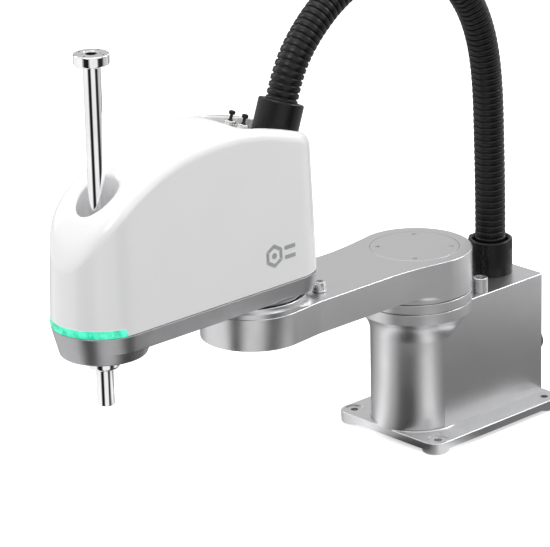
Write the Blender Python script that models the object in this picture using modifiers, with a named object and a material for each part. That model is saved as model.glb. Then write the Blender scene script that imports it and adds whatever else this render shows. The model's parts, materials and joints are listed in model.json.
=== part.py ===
"""Tabletop SCARA robot arm, stretched out straight: base, two swinging arms and a vertical quill.

Metres, +Z up. The first swing axis is the world Z axis, the mounting face is z = 0 and the arms
reach along -Y. Each sub-part is one named object. Solids that only cut or add to others are in
the collection "cutters".
"""

import math

import bmesh
import bpy
from mathutils import Matrix, Vector

MM = 0.001

# Driving dimensions, in millimetres.
ARM1_REACH = 270.0
ARM2_REACH = 230.0
SHAFT_R = 10.0
SHAFT_BORE_R = 6.5
GAP = 0.3

J1 = (0.0, 0.0)
J2 = (0.0, -ARM1_REACH)
QUILL = (0.0, -ARM1_REACH - ARM2_REACH)

# Base heights and radii.
PLATE_Z = (5.0, 15.0)
PLATE_HALF_X = 88.0
PLATE_FRONT, PLATE_REAR = -55.0, 177.5
CORNER_R = 17.0
BOLTS_X = 73.0
BOLTS_Y = (-36.0, 158.0)
COLUMN_R = 56.0
RING_R = 71.0
FLARE_Z = (136.0, 160.0)
RING_TOP = 174.6
BLOCK_HALF_X = 55.5
BLOCK_REAR = 174.2
BLOCK_TOP = 172.7
STOP_POST = (45.0, 70.0)
DUCT_FOOT = (0.0, 136.0)

# Arm 1.
DRUM1_BOTTOM = 188.4
BEAM_Z = (200.0, 239.5)
BEAM_HALF = 58.8
HUB_R = 64.0
PEDESTAL_R, PEDESTAL_TOP = 60.0, 251.5
CAP_R = 55.0
CAP_SCREWS_R = 45.7
STOP_SCREW = (31.0, 78.0)

# Arm 2.
ARM2_HALF = 59.0
ARM2_BOTTOM, ARM2_TOP = 255.0, 276.0
REAR_SPINE_Y = J2[1] + 26.0
REAR_CORNER_R = 50.0
REAR_FLAT = 9.0
DRUM2_BOTTOM, DRUM2_BOTTOM_R = 241.0, 50.0
COVER_Z = ARM2_TOP + GAP
COVER_WALL = 3.0
COVER_DRAFT = 0.036
COVER_EDGE_R = 16.0
EDGE_STEPS = 4
LIGHT_Z = (COVER_Z + GAP, 286.0)
LIGHT_SWEEP = 78.0

# The cover's height over the spine line, from the front end to the rear.
CROWN = (
    (-562, 356), (-549, 376), (-536, 396), (-521, 412), (-500, 428), (-480, 440), (-449, 455),
    (-409, 466), (-368, 471), (-327, 471), (-292, 466), (-258, 457), (-228, 447), (-192, 433),
)

# Quill and its drives.
SHAFT_Z = (177.0, 589.0)
COLLAR_Z, COLLAR_R = (576.0, 589.0), 20.3
STOP_RING_Z, STOP_RING_R = (221.5, 240.2), 18.0
CUP_R, CUP_FLOOR = 24.0, 386.0
BRACKET_Z = (312.5, 318.5)
MOTOR_Y = -402.0
MOTOR_X = 24.0
R_BELT_Z = (283.5, 292.5)
Z_BELT_Z = (298.5, 307.5)
R_SMALL_R, R_BIG_R = 11.0, 22.0
Z_SMALL_R, Z_BIG_R = 12.0, 25.0
MOTOR_SHAFT_R = 3.0

# Pocket in the cover's rear top, tilted towards the rear, and the duct that leaves it.
POCKET_TILT = math.radians(19.5)
POCKET_FLOOR = (0.0, -262.0, 438.8)
POCKET_HALF = 37.0
POCKET_ENDS = (-57.0, 58.5)
DUCT_R = 19.2
DUCT_ROUTE = (
    (-224.6, 454.5), (-218.6, 471.0), (-211.0, 492.0), (-201.0, 513.0), (-187.0, 533.5),
    (-164.0, 557.0), (-134.0, 579.0), (-96.0, 597.0), (-52.0, 607.0), (-8.0, 605.0),
    (34.0, 590.0), (70.0, 563.0), (98.0, 528.0), (115.5, 492.0), (126.0, 452.0),
    (131.5, 404.0), (133.8, 345.0), (135.5, 285.0), (136.0, 230.0), (136.0, 180.0),
)


# ---------------------------------------------------------------- scene and materials

for old in list(bpy.data.objects):
    bpy.data.objects.remove(old, do_unlink=True)


def collection(name, hidden=False):
    made = bpy.data.collections.new(name)
    bpy.context.scene.collection.children.link(made)
    made.hide_render = hidden
    return made


ROBOT = collection("scara_robot_arm")
CUTTERS = collection("cutters", hidden=True)


def material(name, colour, roughness, metallic=0.0):
    made = bpy.data.materials.new(name)
    made.use_nodes = True
    shader = made.node_tree.nodes["Principled BSDF"]
    shader.inputs["Base Color"].default_value = (*colour, 1.0)
    shader.inputs["Roughness"].default_value = roughness
    shader.inputs["Metallic"].default_value = metallic
    made.diffuse_color = (*colour, 1.0)
    return made


CAST = material("cast_aluminium", (0.62, 0.62, 0.64), 0.38, 1.0)
CAST_DARK = material("arm2_aluminium", (0.50, 0.50, 0.51), 0.40, 1.0)
SHELL = material("white_shell", (0.92, 0.92, 0.93), 0.18)
CHROME = material("ground_chrome", (0.93, 0.93, 0.94), 0.06, 1.0)
STEEL = material("bright_steel", (0.66, 0.66, 0.68), 0.25, 1.0)
BLACK = material("black_nylon", (0.018, 0.018, 0.02), 0.42)
RUBBER = material("black_rubber", (0.02, 0.02, 0.02), 0.8)
LENS = material("green_lens", (0.05, 0.72, 0.42), 0.25)
MOTOR = material("motor_black", (0.05, 0.05, 0.055), 0.5)
PLATED = material("plated_brass", (0.75, 0.75, 0.74), 0.2, 1.0)
BOARD = material("circuit_board", (0.02, 0.22, 0.10), 0.5)
BATTERY = material("battery_case", (0.75, 0.74, 0.68), 0.5)


# ---------------------------------------------------------------- shape helpers

def flat(outline, z0, z1):
    """A mesh with a plan outline, in millimetres, between two heights."""
    curve = bpy.data.curves.new("outline", "CURVE")
    curve.dimensions = "2D"
    curve.fill_mode = "BOTH"
    curve.extrude = (z1 - z0) / 2 * MM
    spline = curve.splines.new("POLY")
    spline.use_cyclic_u = True
    spline.points.add(len(outline) - 1)
    for point, (x, y) in zip(spline.points, outline):
        point.co = (x * MM, y * MM, 0.0, 1.0)
    return mesh_of_curve(curve, Matrix.Translation((0.0, 0.0, (z0 + z1) / 2 * MM)))


def mesh_of_curve(curve, move):
    """The curve's evaluated mesh, moved, with its caps welded to its sides."""
    holder = bpy.data.objects.new(curve.name, curve)
    CUTTERS.objects.link(holder)
    evaluated = holder.evaluated_get(bpy.context.evaluated_depsgraph_get())
    mesh = bpy.data.meshes.new_from_object(evaluated)
    bpy.data.objects.remove(holder, do_unlink=True)
    bm = bmesh.new()
    bm.from_mesh(mesh)
    bmesh.ops.transform(bm, matrix=move, verts=bm.verts)
    bmesh.ops.remove_doubles(bm, verts=bm.verts, dist=0.01 * MM)
    bmesh.ops.recalc_face_normals(bm, faces=bm.faces)
    bm.to_mesh(mesh)
    bm.free()
    return mesh


def turned(profile, steps=24):
    """A profile of (radius, z) for a Screw modifier, with the number of steps it takes."""
    closed = profile[0][0] > 0.0
    loop = list(zip(profile, profile[1:] + profile[:1]))
    turn = sum(r0 * z1 - r1 * z0 for (r0, z0), (r1, z1) in loop)
    if turn > 0.0:
        profile = profile[::-1]
    mesh = bpy.data.meshes.new("profile")
    count = len(profile)
    edges = [(i, (i + 1) % count) for i in range(count if closed else count - 1)]
    mesh.from_pydata([(r * MM, 0.0, z * MM) for r, z in profile], edges, [])
    return mesh, steps


def disc(r, z0, z1, steps=24):
    bm = bmesh.new()
    middle = Matrix.Translation((0.0, 0.0, (z0 + z1) / 2 * MM))
    bmesh.ops.create_cone(
        bm, cap_ends=True, segments=steps, radius1=r * MM, radius2=r * MM,
        depth=(z1 - z0) * MM, matrix=middle,
    )
    mesh = bpy.data.meshes.new("disc")
    bm.to_mesh(mesh)
    bm.free()
    return mesh


def tube(r_in, r_out, z0, z1, steps=24):
    return turned([(r_in, z0), (r_out, z0), (r_out, z1), (r_in, z1)], steps)


def block(x0, x1, y0, y1, z0, z1):
    bm = bmesh.new()
    size = Matrix.Diagonal(((x1 - x0) * MM, (y1 - y0) * MM, (z1 - z0) * MM, 1.0))
    middle = Vector(((x0 + x1) / 2, (y0 + y1) / 2, (z0 + z1) / 2)) * MM
    bmesh.ops.create_cube(bm, size=1.0, matrix=Matrix.Translation(middle) @ size)
    mesh = bpy.data.meshes.new("block")
    bm.to_mesh(mesh)
    bm.free()
    return mesh


def loft(rings, end_caps=True):
    """A skin through rings of equal point counts, each a list of (x, y, z) in millimetres."""
    bm = bmesh.new()
    rows = [[bm.verts.new(Vector(p) * MM) for p in ring] for ring in rings]
    for low, high in zip(rows, rows[1:]):
        for i in range(len(low)):
            j = (i + 1) % len(low)
            bm.faces.new((low[i], low[j], high[j], high[i]))
    if end_caps:
        bm.faces.new(rows[0])
        bm.faces.new(rows[-1])
    bmesh.ops.remove_doubles(bm, verts=bm.verts, dist=0.02 * MM)
    bmesh.ops.triangulate(bm, faces=bm.faces)
    bmesh.ops.recalc_face_normals(bm, faces=bm.faces)
    mesh = bpy.data.meshes.new("loft")
    bm.to_mesh(mesh)
    bm.free()
    return mesh


def place(name, shape, finish, at=(0.0, 0.0, 0.0), tilt=0.0, tool=False):
    """An object from a mesh, or from a profile and its Screw steps, at a place in millimetres."""
    mesh, steps = shape if isinstance(shape, tuple) else (shape, None)
    made = bpy.data.objects.new(name, mesh)
    made.location = Vector(at) * MM
    made.rotation_euler = (tilt, 0.0, 0.0)
    if steps:
        screw = made.modifiers.new("turn", "SCREW")
        screw.steps = screw.render_steps = steps
        screw.use_merge_vertices = True
        screw.merge_threshold = 0.01 * MM
    if tool:
        CUTTERS.objects.link(made)
        made.hide_render = True
        made.display_type = "WIRE"
    else:
        ROBOT.objects.link(made)
        mesh.materials.append(finish)
    return made


def arc(cx, cy, r, start, end, steps):
    """Points on a circle, from start to end in degrees."""
    turns = (math.radians(start + (end - start) * k / steps) for k in range(steps + 1))
    return [(cx + r * math.cos(a), cy + r * math.sin(a)) for a in turns]


def rounded_box(x0, x1, y0, y1, r, steps=6):
    return (
        arc(x1 - r, y0 + r, r, -90, 0, steps) + arc(x1 - r, y1 - r, r, 0, 90, steps)
        + arc(x0 + r, y1 - r, r, 90, 180, steps) + arc(x0 + r, y0 + r, r, 180, 270, steps)
    )


def sector(r_in, r_out, middle, half, steps=8):
    """A piece of a ring, centred on an angle in degrees."""
    return (
        arc(0, 0, r_out, middle - half, middle + half, steps)
        + arc(0, 0, r_in, middle + half, middle - half, steps)
    )


def boolean(target, tool, operation):
    modifier = target.modifiers.new(tool.name, "BOOLEAN")
    modifier.operation = operation
    modifier.solver = "EXACT"
    modifier.object = tool


def cut(target, name, shape, at=(0.0, 0.0, 0.0), tilt=0.0):
    tool = place(name, shape, None, at, tilt, tool=True)
    boolean(target, tool, "DIFFERENCE")
    return tool


def add(target, name, shape, at=(0.0, 0.0, 0.0), tilt=0.0):
    tool = place(name, shape, None, at, tilt, tool=True)
    boolean(target, tool, "UNION")
    return tool


def at_axis(axis, z=0.0):
    return (axis[0], axis[1], z)


def hermite(p, q, pull_p, pull_q, steps):
    """Points between p and q on a cubic whose ends leave along the two pulls."""
    made = []
    for k in range(1, steps):
        t = k / steps
        a, b = 2 * t**3 - 3 * t**2 + 1, t**3 - 2 * t**2 + t
        c, d = 3 * t**2 - 2 * t**3, t**3 - t**2
        made.append(tuple(a * p[i] + b * pull_p[i] + c * q[i] + d * pull_q[i] for i in (0, 1)))
    return made


# ---------------------------------------------------------------- base

def base_casting():
    plate = rounded_box(-PLATE_HALF_X, PLATE_HALF_X, PLATE_FRONT, PLATE_REAR, CORNER_R)
    body = place("base_casting", flat(plate, *PLATE_Z), CAST)
    for side in (-1, 1):
        for end, y in enumerate((PLATE_FRONT + CORNER_R, PLATE_REAR - CORNER_R)):
            foot = disc(CORNER_R - 0.6, 0.0, PLATE_Z[0] + 4.0, 32)
            add(body, f"foot_{side}_{end}", foot, (side * (PLATE_HALF_X - CORNER_R), y, 0.0))
    add(body, "centre_pad", disc(30.0, 0.0, PLATE_Z[0] + 4.0, 32))
    flare = [
        (RING_R - 1.0 - (RING_R - 1.0 - COLUMN_R) * math.cos(a), FLARE_Z[1] - 22.0 + 22.0 * math.sin(a))
        for a in (math.radians(15.0 * k) for k in range(7))
    ]
    column = [(0.0, PLATE_Z[1] - 5.0), (COLUMN_R, PLATE_Z[1] - 5.0)] + flare
    column += [(RING_R, FLARE_Z[1] + 1.0), (RING_R, RING_TOP - 0.8), (RING_R - 0.8, RING_TOP)]
    column += [(0.0, RING_TOP)]
    add(body, "column", turned(column, 40))
    rear = block(-BLOCK_HALF_X, BLOCK_HALF_X, -3.0, BLOCK_REAR, PLATE_Z[1] - 4.0, BLOCK_TOP)
    add(body, "rear_block", rear)
    for side in (-1, 1):
        for end, y in enumerate(BOLTS_Y):
            cut(body, f"bolt_hole_{side}_{end}", disc(4.75, -5.0, 30.0, 24), (side * BOLTS_X, y, 0.0))
            if end == 0:
                cut(body, f"spot_face_{side}", disc(14.6, 13.6, 30.0, 32), (side * BOLTS_X, y, 0.0))
    cut(body, "column_bore", disc(50.0, 10.0, 140.0, 28))
    cut(body, "reducer_bore", disc(48.0 + GAP, 130.0, 190.0, 32))
    cut(body, "block_cavity", block(-51.0, 51.0, 20.0, BLOCK_REAR + 9.0, 20.0, BLOCK_TOP - 5.0))
    cut(body, "duct_opening", disc(15.0, 150.0, 190.0, 24), at_axis(DUCT_FOOT))
    return body


def base_pieces():
    housing = [
        (18.0, 150.0), (48.0, 150.0), (48.0, RING_TOP + 0.5), (RING_R, RING_TOP + 0.5),
        (RING_R, 186.6), (RING_R - 0.8, 187.4), (18.0, 187.4),
    ]
    place("j1_reducer_housing", turned(housing, 40), CAST)
    place("j1_motor", turned([(0, 40), (40, 40), (40, 138), (26, 138), (26, 149.2), (0, 149.2)], 36), MOTOR)
    sheet = block(-50.0, 50.0, BLOCK_REAR + GAP, PLATE_REAR, 24.0, BLOCK_TOP - 9.0)
    panel = place("rear_panel", sheet, STEEL)
    for x, z, r in ((-22.0, 70.0, 14.0), (22.0, 70.0, 14.0)):
        cut(panel, f"panel_hole_{int(x)}", disc(r, -20.0, 20.0, 24), (x, BLOCK_REAR, z), math.pi / 2)
    for name, x in (("power_connector", -22.0), ("signal_connector", 22.0)):
        shape = [(0, 0), (13.5, 0), (13.5, 12.7), (17.0, 12.7), (17.0, 18.0), (14.0, 18.0), (14.0, 32.0)]
        shape += [(11.0, 32.0), (11.0, 22.0), (0, 22.0)]
        place(name, turned(shape, 24), BLACK, (x, BLOCK_REAR - 9.0, 70.0), -math.pi / 2)
    for n, x in enumerate((-16.0, 16.0)):
        shape = [(2.4, 0), (7.0, 0), (7.0, 8.0), (6.0, 9.0), (6.0, 16.0), (2.4, 16.0)]
        spot = (x, PLATE_REAR + GAP, 118.0)
        place(f"base_air_fitting_{n + 1}", turned(shape, 24), PLATED, spot, -math.pi / 2)
    for n, (x, z) in enumerate(((-45.0, 30.0), (45.0, 30.0), (-45.0, 158.0), (45.0, 158.0))):
        head = [(0, GAP), (3.2, GAP), (3.2, 1.6), (2.0, 2.5), (0, 2.5)]
        place(f"rear_panel_screw_{n + 1}", turned(head, 16), STEEL, (x, PLATE_REAR, z), -math.pi / 2)
    place("encoder_battery", block(-32.0, 32.0, 96.0, 126.0, 22.0, 60.0), BATTERY)
    for name, side in (("j1_stop_post_left", -1), ("j1_stop_post_right", 1)):
        post = [(0, BLOCK_TOP + GAP), (9.3, BLOCK_TOP + GAP), (9.3, 191.2), (8.5, 192.0), (0, 192.0)]
        place(name, turned(post, 28), STEEL, (side * STOP_POST[0], STOP_POST[1], 0.0))
    foot = [
        (22.0, BLOCK_TOP + GAP), (28.0, BLOCK_TOP + GAP), (28.0, 215.8), (26.8, 217.0),
        (23.2, 217.0), (22.0, 215.8),
    ]
    place("base_duct_collar", turned(foot, 28), BLACK, at_axis(DUCT_FOOT))


# ---------------------------------------------------------------- arm 1

def arm1_outline(grow=0.0):
    """Plan of arm 1: a big round end, a slim waist and a smaller round end, from above."""
    r1, r2, half = RING_R + grow, HUB_R + grow, BEAM_HALF + grow
    leave, meet = 6.0, 10.0
    start = (r1 * math.cos(math.radians(leave)), -r1 * math.sin(math.radians(leave)))
    waist = (half, -100.0)
    end = (r2 * math.cos(math.radians(meet)), J2[1] + r2 * math.sin(math.radians(meet)))
    side = [start]
    side += hermite(start, waist, (-15.0, -80.0), (0.0, -100.0), 5) + [waist, (half, -215.0)]
    side += hermite((half, -215.0), end, (0.0, -30.0), (0.02 * r2, -30.0), 3)
    hub = arc(0.0, J2[1], r2, meet, -180.0 - meet, 26)
    other = [(-x, y) for x, y in reversed(side)]
    drum = arc(0.0, 0.0, r1, 180.0 + leave, -leave, 26)
    return side + hub + other + drum[1:-1]


def arm1_casting():
    body = place("arm1_casting", flat(arm1_outline(), DRUM1_BOTTOM, PEDESTAL_TOP), CAST)
    bottom, top = BEAM_Z
    under = [(RING_R - 1.8, bottom - 12.6), (RING_R + 0.5, DRUM1_BOTTOM + 1.3), (RING_R + 0.5, bottom - 6.0)]
    under += [(RING_R + 2.0, bottom - 2.5), (RING_R + 6.0, bottom - 0.6), (RING_R + 12.0, bottom)]
    under += [(380.0, bottom), (380.0, bottom - 12.6)]
    cut(body, "under_space", turned(under, 44))
    over = [
        (PEDESTAL_R + 8.0 - 8.0 * math.sin(a), top + 8.0 - 8.0 * math.cos(a))
        for a in (math.radians(18.0 * k) for k in range(6))
    ]
    over += [(PEDESTAL_R, PEDESTAL_TOP - 0.8), (PEDESTAL_R - 1.6, PEDESTAL_TOP + 0.8)]
    over += [(380.0, PEDESTAL_TOP + 0.8), (380.0, top)]
    cut(body, "over_space", turned(over, 44), at_axis(J2))
    add(body, "j1_stop_lug", flat(sector(74.0, 92.0, -90.0, 8.5), 189.6, 206.0))
    cut(body, "cap_recess", disc(CAP_R + GAP, BEAM_Z[1] - 3.3, 250.0, 40))
    cut(body, "j1_bore", disc(46.0 + GAP, 180.0, BEAM_Z[1] - 3.0, 36))
    cut(body, "j2_bore", disc(44.0, 205.0, 260.0, 36), at_axis(J2))
    cut(body, "beam_pocket", flat(rounded_box(-50.0, 50.0, -206.0, -98.0, 10.0), 195.0, 233.5))
    cut(body, "cable_way", block(-14.0, 14.0, -236.0, -38.0, 208.0, 230.0))
    for side in (-1, 1):
        hole = disc(6.0 + GAP, BEAM_Z[1] - 14.0, 250.0, 20)
        cut(body, f"stop_hole_{side}", hole, (side * STOP_SCREW[0], J2[1] + STOP_SCREW[1], 0.0))


def arm1_pieces():
    cap = place("j1_cap", disc(CAP_R, BEAM_Z[1] - 3.0, BEAM_Z[1], 40), CAST)
    for n in range(4):
        a = math.radians(45.0 + 90.0 * n)
        where = (CAP_SCREWS_R * math.cos(a), CAP_SCREWS_R * math.sin(a), 0.0)
        cut(cap, f"cap_hole_{n}", disc(2.5, 230.0, 250.0, 16), where)
        head = place(f"j1_cap_screw_{n + 1}", disc(2.2, BEAM_Z[1] - 2.8, BEAM_Z[1] - 0.4, 16), STEEL, where)
        cut(head, f"cap_socket_{n}", disc(1.2, BEAM_Z[1] - 1.8, 250.0, 6), where)
    flange = [(20, 187.9), (46, 187.9), (46, 206), (30, 206), (30, 214), (20, 214)]
    place("j1_output_flange", turned(flange, 28), STEEL)
    cover = flat(rounded_box(-49.7, 49.7, -205.7, -98.3, 9.7), 200.4, 203.0)
    place("arm1_bottom_cover", cover, CAST)
    reducer = [(12, 205.4), (43.6, 205.4), (43.6, 246.0), (40.0, 246.0), (40.0, 250.6), (12, 250.6)]
    place("j2_reducer", turned(reducer, 28), STEEL, at_axis(J2))
    for name, side in (("j2_stop_screw_left", -1), ("j2_stop_screw_right", 1)):
        z = BEAM_Z[1] + GAP
        shape = [(0, z - 13.5), (6.0, z - 13.5), (6.0, z), (9.0, z)]
        shape += [(9.0, z + 11.2), (8.2, z + 12.0), (0, z + 12.0)]
        where = (side * STOP_SCREW[0], J2[1] + STOP_SCREW[1], 0.0)
        screw = place(name, turned(shape, 24), STEEL, where)
        cut(screw, f"stop_socket_{side}", disc(5.2, z + 6.0, z + 20.0, 6), where)


# ---------------------------------------------------------------- arm 2

def arm2_ring(inset, z, half=ARM2_HALF):
    """Plan of arm 2 as (x, y, z) points, moved in towards the spine line by an inset."""
    grow = half - ARM2_HALF
    corner = REAR_CORNER_R + grow
    outline = arc(0.0, QUILL[1], half, 180.0, 360.0, 20)
    span = REAR_SPINE_Y - QUILL[1]
    outline += [(half, QUILL[1] + span * k / 9) for k in range(1, 9)]
    outline += arc(REAR_FLAT, REAR_SPINE_Y, corner, 0.0, 90.0, 6)
    outline += arc(-REAR_FLAT, REAR_SPINE_Y, corner, 90.0, 180.0, 6)
    outline += [(-half, REAR_SPINE_Y - span * k / 9) for k in range(1, 9)]
    ring = []
    for x, y in outline:
        spine_y = min(max(y, QUILL[1]), REAR_SPINE_Y)
        reach = math.hypot(x, y - spine_y)
        share = min(inset / reach, 1.0)
        ring.append((x * (1.0 - share), y + (spine_y - y) * share, z))
    return ring


def crown_height(y):
    """Height of the cover's top at a place along the arm, smoothed between the CROWN points."""
    last = len(CROWN) - 2
    i = max(k for k in range(last + 1) if CROWN[k][0] <= y or k == 0)
    (y0, z0), (y1, z1) = CROWN[i], CROWN[i + 1]

    def slope(k):
        low, high = CROWN[max(k - 1, 0)], CROWN[min(k + 1, len(CROWN) - 1)]
        return (high[1] - low[1]) / (high[0] - low[0])

    t, d = (y - y0) / (y1 - y0), y1 - y0
    a, b = 2 * t**3 - 3 * t**2 + 1, t**3 - 2 * t**2 + t
    c, e = 3 * t**2 - 2 * t**3, t**3 - t**2
    return a * z0 + b * d * slope(i) + c * z1 + e * d * slope(i + 1)


def cover_solid(shrink, bottom):
    """The cover's outer form, or that form moved inwards by a wall thickness."""
    half = ARM2_HALF - shrink
    edge = max(COVER_EDGE_R - shrink, 4.0)
    rings = [arm2_ring(0.0, bottom, half)]
    for k in range(EDGE_STEPS + 1):
        bend = math.radians(90.0 * k / EDGE_STEPS)
        inset = edge * (1.0 - math.cos(bend))
        rise = edge * math.sin(bend) - edge
        ring = arm2_ring(0.0, 0.0, half)
        shaped = []
        for (x, y, _), (px, py, _) in zip(arm2_ring(inset, 0.0, half), ring):
            top = crown_height(py) - shrink + rise
            lean = COVER_DRAFT * (top - bottom)
            spine_y = min(max(py, QUILL[1]), REAR_SPINE_Y)
            reach = math.hypot(px, py - spine_y)
            share = lean / reach
            qx, qy = x * (1.0 - share), y + (spine_y - y) * share
            shaped.append((qx, qy, crown_height(qy) - shrink + rise))
        rings.append(shaped)
    for share in (0.45, 0.75):
        rings.append([
            (x * (1.0 - share), y + (min(max(y, QUILL[1]), REAR_SPINE_Y) - y) * share, 0.0)
            for x, y, _ in rings[EDGE_STEPS + 1]
        ])
        rings[-1] = [(x, y, crown_height(y) - shrink + 1.5 * share) for x, y, _ in rings[-1]]
    spine = [(0.0, min(max(y, QUILL[1]), REAR_SPINE_Y)) for _, y, _ in rings[EDGE_STEPS + 1]]
    rings.append([(x, y, crown_height(y) - shrink + 1.7) for x, y in spine])
    return loft([[(0.0, QUILL[1], bottom)] * len(rings[0])] + rings, end_caps=False)


def pocket(grow, height):
    """The room for the fittings and the duct: square at the front, round behind the duct."""
    half, front, rear = POCKET_HALF + grow, POCKET_ENDS[0] - grow, POCKET_ENDS[1] + grow
    small, large = 12.0 + grow, 30.0 + grow
    outline = arc(half - small, front + small, small, -90, 0, 4)
    outline += arc(half - large, rear - large, large, 0, 90, 8)
    outline += [(-x, y) for x, y in reversed(outline)]
    return flat(outline, -grow, height)


def arm2_cover():
    body = place("arm2_cover", cover_solid(0.0, COVER_Z), SHELL)
    hollow = place("cover_hollow", cover_solid(COVER_WALL, COVER_Z - 6.0), None, tool=True)
    cut(hollow, "pocket_wall", pocket(COVER_WALL, 70.0), POCKET_FLOOR, -POCKET_TILT)
    cut(hollow, "cup_wall", disc(CUP_R + COVER_WALL, CUP_FLOOR - COVER_WALL, 480.0, 40), at_axis(QUILL))
    boolean(body, hollow, "DIFFERENCE")
    cut(body, "pocket_room", pocket(0.0, 70.0), POCKET_FLOOR, -POCKET_TILT)
    cut(body, "cup_room", disc(CUP_R, CUP_FLOOR, 480.0, 40), at_axis(QUILL))
    cut(body, "cup_hole", disc(SHAFT_R + 1.5, 370.0, 400.0, 32), at_axis(QUILL))
    cut(body, "duct_hole", disc(15.0, -20.0, 20.0, 24), duct_seat(), -POCKET_TILT)
    band = sector(ARM2_HALF - 9.0, ARM2_HALF + 6.0, -90.0, LIGHT_SWEEP)
    cut(body, "light_notch", flat(band, COVER_Z - 4.0, LIGHT_Z[1] + GAP), at_axis(QUILL))


def status_light():
    sweep = LIGHT_SWEEP - math.degrees(GAP / ARM2_HALF)
    outline = sector(ARM2_HALF - 3.6, ARM2_HALF - GAP, -90.0, sweep, 20)
    place("status_light", flat(outline, *LIGHT_Z), LENS, at_axis(QUILL))


def duct_seat():
    """Where the duct's axis meets the pocket floor."""
    y, z = -233.4, 428.7
    return (0.0, y, z)


def arm2_casting():
    rings = [
        arm2_ring(3.0, ARM2_BOTTOM), arm2_ring(1.8, ARM2_BOTTOM + 1.2),
        arm2_ring(0.0, ARM2_TOP - 1.0), arm2_ring(0.0, ARM2_TOP),
    ]
    body = place("arm2_casting", loft(rings), CAST_DARK)
    drum = [(0, DRUM2_BOTTOM), (DRUM2_BOTTOM_R - 2.0, DRUM2_BOTTOM), (DRUM2_BOTTOM_R, DRUM2_BOTTOM + 2.0)]
    drum += [(ARM2_HALF - 0.3, ARM2_TOP - 1.5), (0, ARM2_TOP - 1.5)]
    add(body, "quill_drum", turned(drum, 40), at_axis(QUILL))
    add(body, "j2_boss", disc(59.0, PEDESTAL_TOP + 1.2, ARM2_BOTTOM + 4.0, 40), at_axis(J2))
    add(body, "j2_stop_lug", flat(sector(76.0, 88.0, -90.0, 30.0, 10), 247.0, ARM2_BOTTOM + 3.0), at_axis(J2))
    cut(body, "tray", loft([arm2_ring(8.0, 263.0), arm2_ring(8.0, ARM2_TOP + 5.0)]))
    cut(body, "bearing_bore", disc(22.0, 246.0, 290.0, 36), at_axis(QUILL))
    cut(body, "quill_hole", disc(16.5, 230.0, 250.0, 32), at_axis(QUILL))
    cut(body, "j2_flange_bore", disc(34.0 + GAP, 240.0, 270.0, 40), at_axis(J2))


def fitting(name, plug, x):
    """A push-in air fitting on the pocket floor, with the plug that closes it."""
    along = -33.0
    turn = Matrix.Rotation(-POCKET_TILT, 3, "X")
    spot = Vector(POCKET_FLOOR) + turn @ Vector((x, along, GAP))
    shape = [(0, 0), (6.6, 0), (6.6, 6.0), (7.2, 6.5), (7.2, 12.5), (6.2, 13.5), (3.4, 13.5)]
    shape += [(3.4, 9.0), (0, 9.0)]
    place(name, turned(shape, 20), PLATED, spot, -POCKET_TILT)
    stem = [(0, 9.4), (3.0, 9.4), (2.0, 14.0), (2.0, 20.0), (4.0, 21.5), (4.0, 24.5), (2.5, 25.5), (0, 25.5)]
    place(plug, turned(stem, 16), BLACK, spot, -POCKET_TILT)


def belt(name, small_x, small_r, big_r, z):
    """A belt in a closed loop round the quill pulley and a motor pulley."""
    gap, thick = 0.3, 1.5
    dx, dy = small_x - QUILL[0], MOTOR_Y - QUILL[1]
    distance, along = math.hypot(dx, dy), math.degrees(math.atan2(dy, dx))
    spread = math.degrees(math.acos((big_r - small_r) / distance))

    def loop(extra):
        big = arc(QUILL[0], QUILL[1], big_r + extra, along + spread, along + 360.0 - spread, 24)
        small = arc(small_x, MOTOR_Y, small_r + extra, along - spread, along + spread, 14)
        return big + small

    inner, outer = loop(gap), loop(gap + thick)
    rings = ((inner, z[0]), (outer, z[0]), (outer, z[1]), (inner, z[1]), (inner, z[0]))
    place(name, loft([[(x, y, h) for x, y in path] for path, h in rings], end_caps=False), RUBBER)


def drive_frame():
    """The bearings, the bracket, both motors and both belts: all that stays with arm 2."""
    place("spline_nut_bearing", tube(15.8, 21.7, 246.4, 272.0), STEEL, at_axis(QUILL))
    place("nut_bearing", tube(15.8, 24.7, BRACKET_Z[0] + 0.5, BRACKET_Z[1]), STEEL, at_axis(QUILL))
    plate = place("motor_bracket", flat(rounded_box(-48.0, 48.0, -526.0, -368.0, 12.0), *BRACKET_Z), CAST)
    for n, (x, y) in enumerate(((-42, -470), (42, -470), (-42, -376), (42, -376))):
        add(plate, f"bracket_leg_{n}", block(x - 5, x + 5, y - 5, y + 5, 263.4, BRACKET_Z[0] + 2.0))
    cut(plate, "nut_bearing_bore", disc(25.0, 300.0, 330.0), at_axis(QUILL))
    for name, x, top, tip in (("z_motor", -MOTOR_X, 404.0, 297.0), ("r_motor", MOTOR_X, 386.0, 282.5)):
        where = (x, MOTOR_Y, 0.0)
        cut(plate, f"{name}_hole", disc(9.0, 300.0, 330.0), where)
        motor = place(name, flat(rounded_box(-20, 20, -20, 20, 3, 2), BRACKET_Z[1] + GAP, top), MOTOR, where)
        add(motor, f"{name}_shaft", disc(MOTOR_SHAFT_R, tip, BRACKET_Z[1] + 5.0, 16), where)
    belt("z_belt", -MOTOR_X, Z_SMALL_R, Z_BIG_R, Z_BELT_Z)
    belt("r_belt", MOTOR_X, R_SMALL_R, R_BIG_R, R_BELT_Z)
    place("j2_output_flange", disc(34.0, 251.3, 266.0, 28), STEEL, at_axis(J2))
    motor = [(0, 266.4), (30, 266.4), (30, 350.0), (26, 352.0), (26, 372.0), (0, 372.0)]
    place("j2_motor", turned(motor), MOTOR, at_axis(J2))
    place("control_board", block(-40.0, 40.0, -334.0, -332.2, 264.0, 372.0), BOARD)


def pulley(name, r_in, r_out, belt_z, at):
    place(name, tube(r_in, r_out, belt_z[0] - 0.5, belt_z[1] + 0.5, 28), STEEL, at)


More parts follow.
